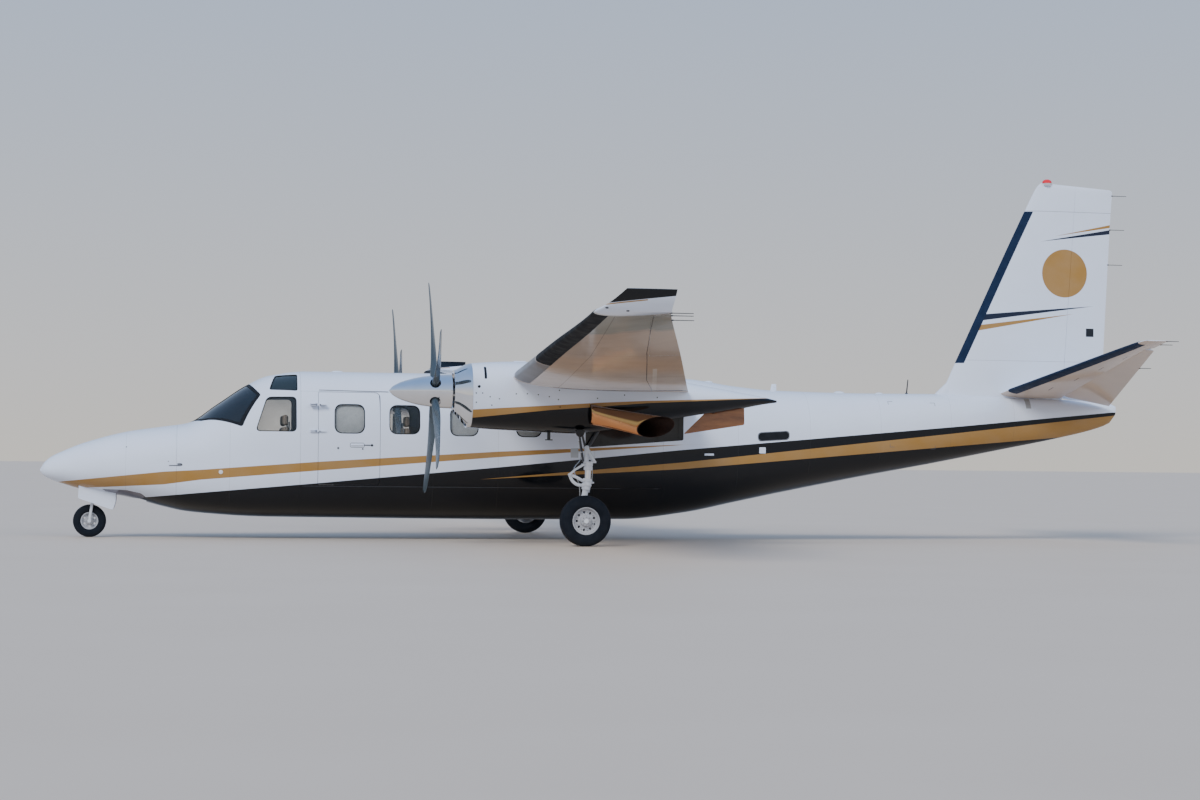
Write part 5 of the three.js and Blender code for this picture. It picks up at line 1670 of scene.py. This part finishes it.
def piping(low, high, axis):
    """The welt that runs around a cushion's seam."""
    centre, half, (a, b) = box_frame(low, high, axis)
    plan = cushion_plan(np.linspace(0, 2 * math.pi, 73))
    path = np.zeros((73, 3))
    path[:, a], path[:, b] = half[a] * 0.985 * plan[0], half[b] * 0.985 * plan[1]
    return tube(path + centre, 0.004, 8)


def build_seats():
    frames = {"crew": [], "left": [], "right": []}
    foot = floor_top + 0.001
    for number, (group, x, y, half, way) in enumerate(seat_rows):
        end = x + seat_length
        back = end if way > 0 else x - back_thick
        cushions = (
            ("seat", (x + 0.004, y - half + 0.004, 0.912), (end - 0.004, y + half - 0.004, 1.018), 2, 4),
            ("back", (back + 0.004, y - half + 0.012, 1.020),
             (back + back_thick - 0.006, y + half - 0.012, 1.300), 0, 4),
            ("head", (back + 0.018, y - 0.130, 1.315), (back + back_thick - 0.018, y + 0.130, 1.436), 0, 0),
        )
        for part, low, high, axis, channels in cushions:
            shape = pillow(low, high, axis, channels)
            pad = piece(f"{group}_{part}_cushion_{number}", shape, "leather", "seat_leather", angle=60)
            piece(f"{group}_{part}_welt_{number}", piping(low, high, axis), "welt", "seat_leather")
        rear = back + (back_thick - 0.012 if way > 0 else 0.002)
        for leg in (0.06, 0.34):
            frames[group].append(block((x + leg, y - 0.09, foot), (x + leg + 0.03, y + 0.09, 0.915)))
        frames[group] += [
            block((x + 0.02, y - half + 0.02, 0.900), (end - 0.02, y + half - 0.02, 0.914)),
            block((rear, y - half + 0.02, 0.900), (rear + 0.010, y + half - 0.02, 1.300)),
        ]
        for out in (-0.06, 0.06):
            frames[group].append(tube([(rear + 0.005, y + out, z) for z in (1.28, 1.36)], 0.007, 10))
        for out in (0.012 - half, half - 0.012):
            frames[group].append(tube([(x + share, y + out, 1.10) for share in (0.06, 0.36)], 0.014, 12))
    frames["crew"].append(block((2.42, -0.42, foot), (2.48, 0.42, floor_top + 0.03)))
    for group, y, start in (("left", -0.34, 4.20), ("right", 0.34, 3.40)):
        frames[group].append(block((start, y - 0.02, foot), (5.25, y + 0.02, floor_top + 0.03)))
    for group, node in (("crew", "crew_seats"), ("left", "cabin_seats_left"), ("right", "cabin_seats_right")):
        piece(f"{group}_seat_frames", together(*frames[group]), "grey", "seat_leather", node)


def build_panel():
    """Board, glare shield and pedestal, bezels and faces, yokes and levers."""
    foot = floor_top + 0.001
    parts = []
    for outline, radius, reach in (
        (box_corners(1.760, 1.960, 1.010, 1.230), 0.02, 0.520),
        ([(1.700, 1.232), (2.010, 1.232), (2.010, 1.262), (1.720, 1.260)], 0.012, 0.540),
        ([(1.780, foot), (1.860, foot), (1.900, 1.010), (1.780, 1.010)], 0.02, 0.090),
    ):
        parts.append(prism([(x, 0, z) for x, z in outline], radius=radius, reach=reach))
    panel = solid("panel_board", together(*parts), M["dark_plastic"])
    keep(panel, fuselage.loft(1.6, 2.2, wall + 0.003))
    smoothed(panel)
    place(panel, "airframe", "panel_plastic", "instrument_panel")
    rings, faces = [], []
    bezel = [(1.960, 0.034), (1.966, 0.046), (1.960, 0.048), (1.955, 0.048), (1.955, 0.034)]
    for y in (-0.40, -0.29, -0.18, 0.18, 0.29, 0.40):
        for z in (1.185, 1.085):
            rings.append(revolved(bezel, "x", (0, y, z), 28))
            faces.append(bar((1.957, y, z), (1.962, y, z), 0.034, 28))
    for y in (-0.075, 0.075):
        faces.append(block((1.957, y - 0.062, 1.085), (1.963, y + 0.062, 1.205)))
    controls = []
    yoke_z = 1.06
    horn = (
        (-0.15, 0.10), (-0.155, 0.03), (-0.12, -0.02), (0, -0.03), (0.12, -0.02), (0.155, 0.03), (0.15, 0.10),
    )
    for y in (-0.30, 0.30):
        controls.append(tube([(1.955, y, yoke_z), (2.10, y, yoke_z)], 0.014, 14))
        controls.append(tube(hose([(2.11, y + across, yoke_z + up) for across, up in horn], 26), 0.012, 12))
    for y in (-0.05, -0.02, 0.02, 0.05):
        controls.append(tube([(1.94, y, 1.01), (1.985, y, 1.065)], (0.004, 0.010), 10))
    piece("instrument_bezels", together(*rings), "grey", "panel_plastic")
    piece("instrument_faces", together(*faces), "screen", "panel_plastic")
    piece("yokes_and_levers", together(*controls), "dark_plastic", "panel_plastic")


def build_blinds():
    """Drawn blinds behind some of the cabin panes, in the depth of the wall."""
    for index, side, body in (
        (0, PORT, "cabin_door"), (2, PORT, "airframe"), (3, PORT, "airframe"), (2, STARBOARD, "airframe"),
    ):
        row = cabin_windows[index]
        blind = shell("blind", row[0] - 0.1, row[1] + 0.1, "blind", 0.030, 0.034, 0.02)
        keep(blind, cabin_window(row, side, -0.004))
        blind.name = f"window_blind_{index}_{'port' if side < 0 else 'starboard'}"
        on_hull(blind, "cabin_trim", body=body)


def finish_nodes():
    """Better surfaces for the CAD nodes that are kept as they are."""
    for node, finish, slot in (
        ("cabin_floor", "carpet", "cabin_trim"), ("rear_bulkhead", "trim", "cabin_trim"),
        ("engine_left", "engine", "engine_metal"), ("engine_right", "engine", "engine_metal"),
    ):
        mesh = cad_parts[node].data
        mesh.materials.clear()
        mesh.materials.append(M[finish])


# Small details on the skin


def skin_patch(name, corners, side, finish, slot, proud, radius, body="airframe", around=fuselage, hole=None):
    """A thin plate that follows the skin inside an outline of (station, level) corners."""
    stations = [corner[0] for corner in corners]
    low, high = min(stations) - 0.04, max(stations) + 0.04
    made = solid(name, around.loft(low, high, -proud, step=0.02), M[finish])
    carve(made, around.loft(low - 0.01, high + 0.01, 0.003, step=0.02))
    middle, reach = around.centre_y + side * 0.36, 0.345
    keep(made, prism([(x, middle, z) for x, z in corners], radius=radius, reach=reach))
    if hole:
        carve(made, prism([(x, middle, z) for x, z in hole], radius=radius * 0.7, reach=reach + 0.01))
    return place(skin_shading(made, around), body, slot)


def skin_line(points, side, radius, around=fuselage):
    """A thin bar that lies along the skin through (station, level) points."""
    path = hose([(x, 0, z) for x, z in points], 12)
    spots = [(x, around.centre_y + side * around.skin_y(x, z), z) for x, _, z in path]
    return tube(spots, radius, 8)


def disc_on(x, z, side, radius, proud=0.002, around=fuselage):
    y = around.centre_y + side * around.skin_y(x, z)
    steps = [(0, radius), (0.8, radius), (1, radius * 0.8)]
    return stepped((x, y - side * 0.004, z), (x, y + side * proud, z), steps, 16)


def blister(centre, half):
    """The upper half of an ellipsoid with a short skirt below it."""
    c, s = turn(24)
    rows = []
    for tilt in [-0.25, *np.linspace(0, 0.49 * math.pi, 9)]:
        wide, up = (1.0, tilt) if tilt < 0 else (math.cos(tilt), math.sin(tilt))
        rows.append(np.stack([wide * c, wide * s, np.full(24, up)], 1) * half + centre)
    return loft(rows)


def hinge_arm(low, high, way):
    """A hinge barrel with its strap to the skin."""
    skin = -fuselage.skin_y(hinge_x + way * 0.05, (low + high) / 2)
    barrel = [(0, 0.0055), (0.04, 0.007), (0.96, 0.007), (1, 0.0055)]

    def across(start, end, y0, y1):
        x0, x1 = sorted((hinge_x + way * start, hinge_x + way * end))
        return block((x0, y0, low), (x1, y1, high))

    return [
        stepped((hinge_x, hinge_y, low), (hinge_x, hinge_y, high), barrel, 16),
        across(0, 0.030, hinge_y - 0.005, hinge_y + 0.006),
        across(0.014, 0.090, hinge_y - 0.005, skin + 0.020),
    ]


def build_door_details():
    straps, lugs = [], []
    for z in (1.250, 1.556):
        straps += hinge_arm(z - 0.005, z + 0.005, 1)
        for at in (z - 0.0115, z + 0.0055):
            lugs += hinge_arm(at, at + 0.006, -1)
    piece("door_hinge_straps", together(*straps), "white", "white_paint", body="cabin_door")
    piece("door_hinge_lugs", together(*lugs), "white", "white_paint")
    drip = skin_line([(3.160, 1.727), (3.48, 1.722), (3.960, 1.716)], PORT, 0.0045)
    piece("door_drip_rail", drip, "seam_grey", "white_paint")
    outline = box_corners(3.517, 3.683, 1.066, 1.120)
    inner = box_corners(3.521, 3.679, 1.070, 1.116)
    recess = "door_handle_recess"
    skin_patch(recess, outline, PORT, "black", "white_paint", 0.0016, 0.02, "cabin_door", hole=inner)
    level = 1.094  # of the handle
    lever = skin_line([(3.530, level), (3.60, level + 0.001), (3.672, level + 0.002)], PORT, 0.011)
    piece("door_handle", lever, "white", "engine_metal", body="cabin_door")
    lock = together(
        skin_line([(x, level) for x in (3.683, 3.715, 3.752)], PORT, 0.005),
        disc_on(3.769, level, PORT, 0.014, 0.006), disc_on(3.663, 1.050, PORT, 0.009, 0.004),
    )
    piece("door_handle_lock", lock, "seal", "engine_metal", body="cabin_door")
    plate = box_corners(3.369, 3.393, 1.045, 1.069)
    skin_patch("door_lock_plate", plate, PORT, "seam_grey", "white_paint", 0.0014, 0.011, "cabin_door")


# The closed nose-wheel door where the belly turns under, drawn as a dark glassy patch: painted shade and
# painted ground reflection.
belly_door_outline = (
    (0.710, 0.558), (0.984, 0.550), (1.154, 0.513), (1.207, 0.471), (1.140, 0.449), (1.020, 0.462),
    (0.786, 0.511),
)
vent_outline = ((8.372, 1.200), (8.752, 1.226), (8.752, 1.316), (8.372, 1.290))
vent_lip = ((8.362, 1.190), (8.762, 1.216), (8.762, 1.326), (8.362, 1.300))
corner_marks = (
    (10.059, 1.700, 1, -1), (10.660, 1.690, -1, -1), (10.061, 1.146, 1, 1), (10.663, 1.128, -1, 1),
)
plate_outline = box_corners(8.382, 8.462, 1.050, 1.122)
strip_outline = box_corners(7.702, 7.817, 1.018, 1.041)
rear_vent_outline = box_corners(11.865, 11.932, 1.642, 1.760)


def build_hull_details():
    for word, side in SIDES:
        for name, outline, finish, slot, proud, radius, hole in (
            ("belly_door_shade", belly_door_outline, "lens", "window_glass", 0.0015, 0.012, None),
            ("tail_vent", vent_outline, "seal", "black_paint", 0.002, 0.042, None),
            ("tail_vent_lip", vent_lip, "seam_grey", "white_paint", 0.0016, 0.050, vent_outline),
            ("blank_plate", plate_outline, "white", "white_paint", 0.0015, 0.008, None),
            ("blank_strip", strip_outline, "white", "white_paint", 0.0015, 0.004, None),
            ("rear_vent", rear_vent_outline, "grey", "black_paint", 0.002, 0.006, None),
        ):
            skin_patch(f"{name}_{word}", outline, side, finish, slot, proud, radius, hole=hole)
        latch = [
            skin_line([(1.468, 0.838), (1.530, 0.838), (1.602, 0.838)], side, 0.0055),
            skin_line([(1.562, 0.856), (1.585, 0.856), (1.610, 0.856)], side, 0.0090),
        ]
        dots = [disc_on(x, z, side, size) for x, z, size in (
            (0.985, 1.044, 0.008), (1.610, 0.846, 0.010), (1.46, 0.885, 0.006))]
        marks = []
        for x, z, way_x, way_z in corner_marks:
            level_mark = [(x, z), (x + way_x * 0.03, z), (x + way_x * 0.06, z)]
            upright_mark = [(x, z), (x + 0.0005, z + way_z * 0.02), (x + 0.001, z + way_z * 0.04)]
            marks += [skin_line(mark, side, 0.0022) for mark in (level_mark, upright_mark)]
        belly = skin_line([(2.98, 0.617), (4.5, 0.6165), (7.15, 0.617)], side, 0.0012)
        for name, shape, finish, slot in (
            ("nose_latch", together(*latch), "seam_grey", "white_paint"),
            ("nose_fasteners", together(*dots), "seam_grey", "white_paint"),
            ("side_lamp", disc_on(2.052, 0.769, side, 0.024, 0.005), "pale_lens", "window_glass"),
            ("corner_marks", together(*marks), "seam_grey", "white_paint"),
            ("belly_joint", belly, "seam_grey", "white_paint"),
        ):
            piece(f"{name}_{word}", shape, finish, slot)


def build_antennas():
    def crown(x):
        return float(fuselage.curves[1](x))

    def upright(*rows):
        """A blade through level sections: front, chord, thickness, level."""
        return loft([section_at(*row) for row in rows])

    foot = crown(8.69)
    fairings = [upright((8.66, 0.075, 0.012, foot - 0.01), (8.675, 0.060, 0.008, foot + 0.075),
                        (8.682, 0.048, 0.003, foot + 0.080))]
    for x, *half in ((7.882, 0.06, 0.035, 0.022), (9.527, 0.07, 0.040, 0.026), (10.036, 0.05, 0.030, 0.018),
                     (3.40, 0.075, 0.045, 0.020)):
        fairings.append(blister((x, 0, crown(x) - 0.004), half))
    piece("antenna_fairings", together(*fairings), "white", "white_paint")
    fillet = upright((10.72, 0.34, 0.110, 1.780), (10.78, 0.26, 0.090, 1.840), (10.86, 0.16, 0.060, 1.915),
                     (10.90, 0.08, 0.030, 1.950))
    piece("fin_root_fillet", fillet, "white", "white_paint")
    foot = crown(10.386)
    steps = [(0, 0.018), (0.10, 0.018), (0.12, 0.0085), (1, 0.0060)]
    whip = stepped((10.386, 0, foot - 0.01), (10.404, 0, foot + 0.175), steps, 14)
    piece("whip_antenna", whip, "dark_plastic", "tyre_rubber")
    dome = [(0, 0), (0, 0.060), (0.020, 0.059), (0.038, 0.045), (0.048, 0.022), (0.050, 0)]
    points, faces = revolved(cap_profile(dome), "x", (0, 0, 0), 28)
    beacon_x = 12.190
    piece("fin_beacon", (points[:, [2, 1, 0]] + (beacon_x, 0, 4.462), faces), "red_lens", "window_glass")
    base = tube([(beacon_x, 0, 4.430), (beacon_x, 0, 4.4660)], 0.050, 24)
    piece("beacon_base", base, "chrome", "chrome")


def section_at(x, chord, thick, z):
    """A level symmetric section."""
    share = chord_shares(0, 1, 14)
    half = half_section(share) * thick / 2 + 0.0008
    xs, ys = x + share * chord, np.concatenate([half[::-1], -half[1:]])
    return np.stack([np.concatenate([xs[::-1], xs[1:]]), ys, np.full(27, z)], 1)


def wick(x, y, z, length):
    steps = [(0, 0.007), (0.10, 0.007), (0.12, 0.0040), (1, 0.0032)]
    return stepped((x, y, z), (x + length, y, z), steps, 8)


def build_wicks():
    wicks = []
    for _, side in SIDES:
        for y in (7.57, 7.30, 6.99):
            _, trail, _, trail_z = (float(curve(y)) for curve in wing_curves[:4])
            wicks.append(wick(trail - 0.01, side * y, trail_z, 0.215))
        for y in (2.99, 2.82, 1.9):
            on_elevator = y < elevator_to
            trail = elevator_trail(y) if on_elevator else float(tail_curves[1](y))
            drop = elevator_fall * (trail - elevator_hinge) if on_elevator else 0.0
            wicks.append(wick(trail - 0.008, side * y, tail_level + y * tail_rise - drop, 0.15))
    for z in (4.328, 3.901, 3.461):
        wicks.append(wick(float(fin_curves[1](z)) - 0.008, 0, z, 0.20))
    piece("static_wicks", together(*wicks), "dark_plastic", "tyre_rubber")


def build_wing_details():
    for word, side in SIDES:
        screws = []
        for y, x in ((7.735, 5.258), (7.745, 5.44)):
            lead, trail, lead_z, trail_z, _, lower, _ = (float(curve(y)) for curve in wing_curves)
            share = (x - lead) / (trail - lead)
            under = float(half_section(np.array([max(share, 0.02)]))[0]) * lower
            z = lead_z + share * (trail_z - lead_z) - under
            screws.append(blister((x, side * y, z + 0.002), (0.017, 0.017, -0.009)))
        piece(f"tip_screws_{word}", together(*screws), "seal", "engine_metal")
        # A dark strip in the wing joint's gap: painted shade inside the gap.
        gap = wing_part(2.754, 2.766, side, start=0.22, end=0.97, grow=0.0015)
        piece(f"wing_root_gap_{word}", gap, "seal", "tyre_rubber")


cowl_dots = (
    (4.733, 1.66), (4.735, 1.56), (4.80, 1.66), (4.88, 1.62), (4.98, 1.60), (5.16, 1.655), (5.28, 1.658),
    (5.40, 1.650), (5.52, 1.630), (5.62, 1.60), (4.90, 1.53), (5.63, 1.70), (5.64, 1.52), (6.05, 1.62),
    (6.35, 1.66), (6.72, 1.64),
)


def build_nacelle_details():
    for word, side in SIDES:
        body = nacelles[side]

        def beam(x0, x1, y, half, z0, z1):
            """A block about an upright plane of the nacelle."""
            return block((x0, side * y - half, z0), (x1, side * y + half, z1))

        slot = box_corners(4.822, 4.848, 1.815, 1.948)
        skin_patch(f"cowl_slot_{word}", slot, side, "black", "black_paint", 0.001, 0.010, around=body)
        dots = [disc_on(x, z, side, 0.007, around=body) for x, z in cowl_dots]
        dots.append(disc_on(4.764, 1.730, side, 0.016, 0.003, body))
        strip = [
            beam(5.178, 5.309, nacelle_y, 0.012, 2.004, 2.026),
            beam(5.225, 5.262, nacelle_y, 0.008, 1.99, 2.010),
        ]
        drain_y = nacelle_y + 0.04
        drain = [
            beam(5.552, 5.588, drain_y, 0.006, 1.170, 1.262),
            beam(5.530, 5.612, drain_y, 0.012, 1.160, 1.172),
            blister((5.880, side * 2.62, 1.262), (0.052, 0.040, -0.064)),
        ]
        for name, shapes, finish, slot in (
            ("cowl_fasteners", dots, "seal", "engine_metal"),
            ("cowl_strip", strip, "white", "white_paint"),
            ("drain_mast", drain, "black", "black_paint"),
        ):
            piece(f"{name}_{word}", together(*shapes), finish, slot)
        shares = np.linspace(0.02, 0.997, 8)
        exhaust_sleeve(f"exhaust_soot_{word}", side, shares, 0.0033, 0.0055, "soot", angle=50)
        plug = loft([exhaust_ring(side, t, 0.0035) for t in (0.002, 0.019)])
        piece(f"exhaust_end_{word}", plug, "soot", "exhaust_metal")


# Stage and camera

lens_mm, sensor_mm = 70.11, 36.0
camera_at = (1.7145, -27.7106, 0.9478)
camera_turn, camera_pitch, camera_roll = 0.1729, 0.0258, 0.0104  # radians
floor_half, sky_strength = 300, 0.95
sky = (
    (0.0, (0.80, 0.77, 0.72)), (0.04, (0.76, 0.76, 0.77)),
    (0.25, (0.50, 0.64, 0.88)), (1.0, (0.28, 0.46, 0.84)),
)
suns = (("key", (52, 0, -38), 2.4, 24), ("fill", (62, 0, 42), 0.7, 40))  # turn, strength, spread in degrees


def build_camera():
    forward = Vector((math.sin(camera_turn), math.cos(camera_turn), 0))
    right = Vector((math.cos(camera_turn), -math.sin(camera_turn), 0))
    up = Vector((0, 0, 1))
    ahead = forward * math.cos(camera_pitch) + up * math.sin(camera_pitch)
    upright = up * math.cos(camera_pitch) - forward * math.sin(camera_pitch)
    across = right * math.cos(camera_roll) + upright * math.sin(camera_roll)
    top = upright * math.cos(camera_roll) - right * math.sin(camera_roll)
    data = bpy.data.cameras.new("camera")
    data.lens, data.sensor_width, data.clip_end = lens_mm, sensor_mm, 1000
    camera = bpy.data.objects.new("camera", data)
    bpy.context.scene.collection.objects.link(camera)
    rotation = Matrix((across, top, -ahead)).transposed().to_4x4()
    at = Vector(camera_at) + Vector((nose_x, 0, 0))
    camera.matrix_world = Matrix.Translation(at) @ rotation
    bpy.context.scene.camera = camera


def build_stage():
    shader = Shader("pale_floor", roughness=0.6)
    tone = shader.noise(0.6, 4)
    shader.set("Base Color", shader.mix(tone, (0.62, 0.52, 0.42), (0.67, 0.57, 0.47)))
    corners = [(x, y, 0) for x, y in box_corners(-floor_half, floor_half, -floor_half, floor_half)]
    floor = solid("floor", (corners, [(0, 1, 2, 3)]), shader.material)
    floor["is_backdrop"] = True
    world = bpy.data.worlds.new("studio")
    bpy.context.scene.world = world
    world.use_nodes = True
    tree = world.node_tree
    background = next(n for n in tree.nodes if n.type == "BACKGROUND")
    direction = tree.nodes.new("ShaderNodeTexCoord")
    parts = tree.nodes.new("ShaderNodeSeparateXYZ")
    ramp = tree.nodes.new("ShaderNodeValToRGB")
    tree.links.new(direction.outputs["Generated"], parts.inputs[0])
    tree.links.new(parts.outputs[2], ramp.inputs[0])
    tree.links.new(ramp.outputs[0], background.inputs["Color"])
    stops = ramp.color_ramp.elements
    (_, ground), *between, (_, top) = sky
    stops[0].position, stops[0].color = 0.0, (*ground, 1)
    stops[1].position, stops[1].color = 1.0, (*top, 1)
    for position, color in between:
        stops.new(position).color = (*color, 1)
    background.inputs["Strength"].default_value = sky_strength
    for name, turned, strength, spread in suns:
        data = bpy.data.lights.new(name, "SUN")
        data.energy, data.angle = strength, math.radians(spread)
        light = bpy.data.objects.new(name, data)
        light.rotation_euler = [math.radians(a) for a in turned]
        light.visible_glossy = False
        bpy.context.scene.collection.objects.link(light)


build_camera()
build_stage()
build_nose()
build_cockpit()
build_cabin()
build_door()
build_tail_cone()
build_wing()
for word, side in SIDES:
    build_nacelle(word, side)
    build_propeller(word, side)
    build_main_gear(word, side)
    build_main_doors(word, side)
    wheel(word, (main_x, side * main_y, main_z), f"main_wheel_{word}", *main_wheel)
build_nose_gear()
wheel("nose", (nose_wheel_x, 0, nose_wheel_z), "nose_wheel", *nose_wheel)
build_tail()
build_seats()
build_panel()
build_blinds()
finish_nodes()
build_door_details()
build_hull_details()
build_antennas()
build_wicks()
build_wing_details()
build_nacelle_details()

boxes = {"cad": cad_box, "visual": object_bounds()}
rows = {name: [list(map(float, corner)) for corner in corners] for name, corners in boxes.items()}
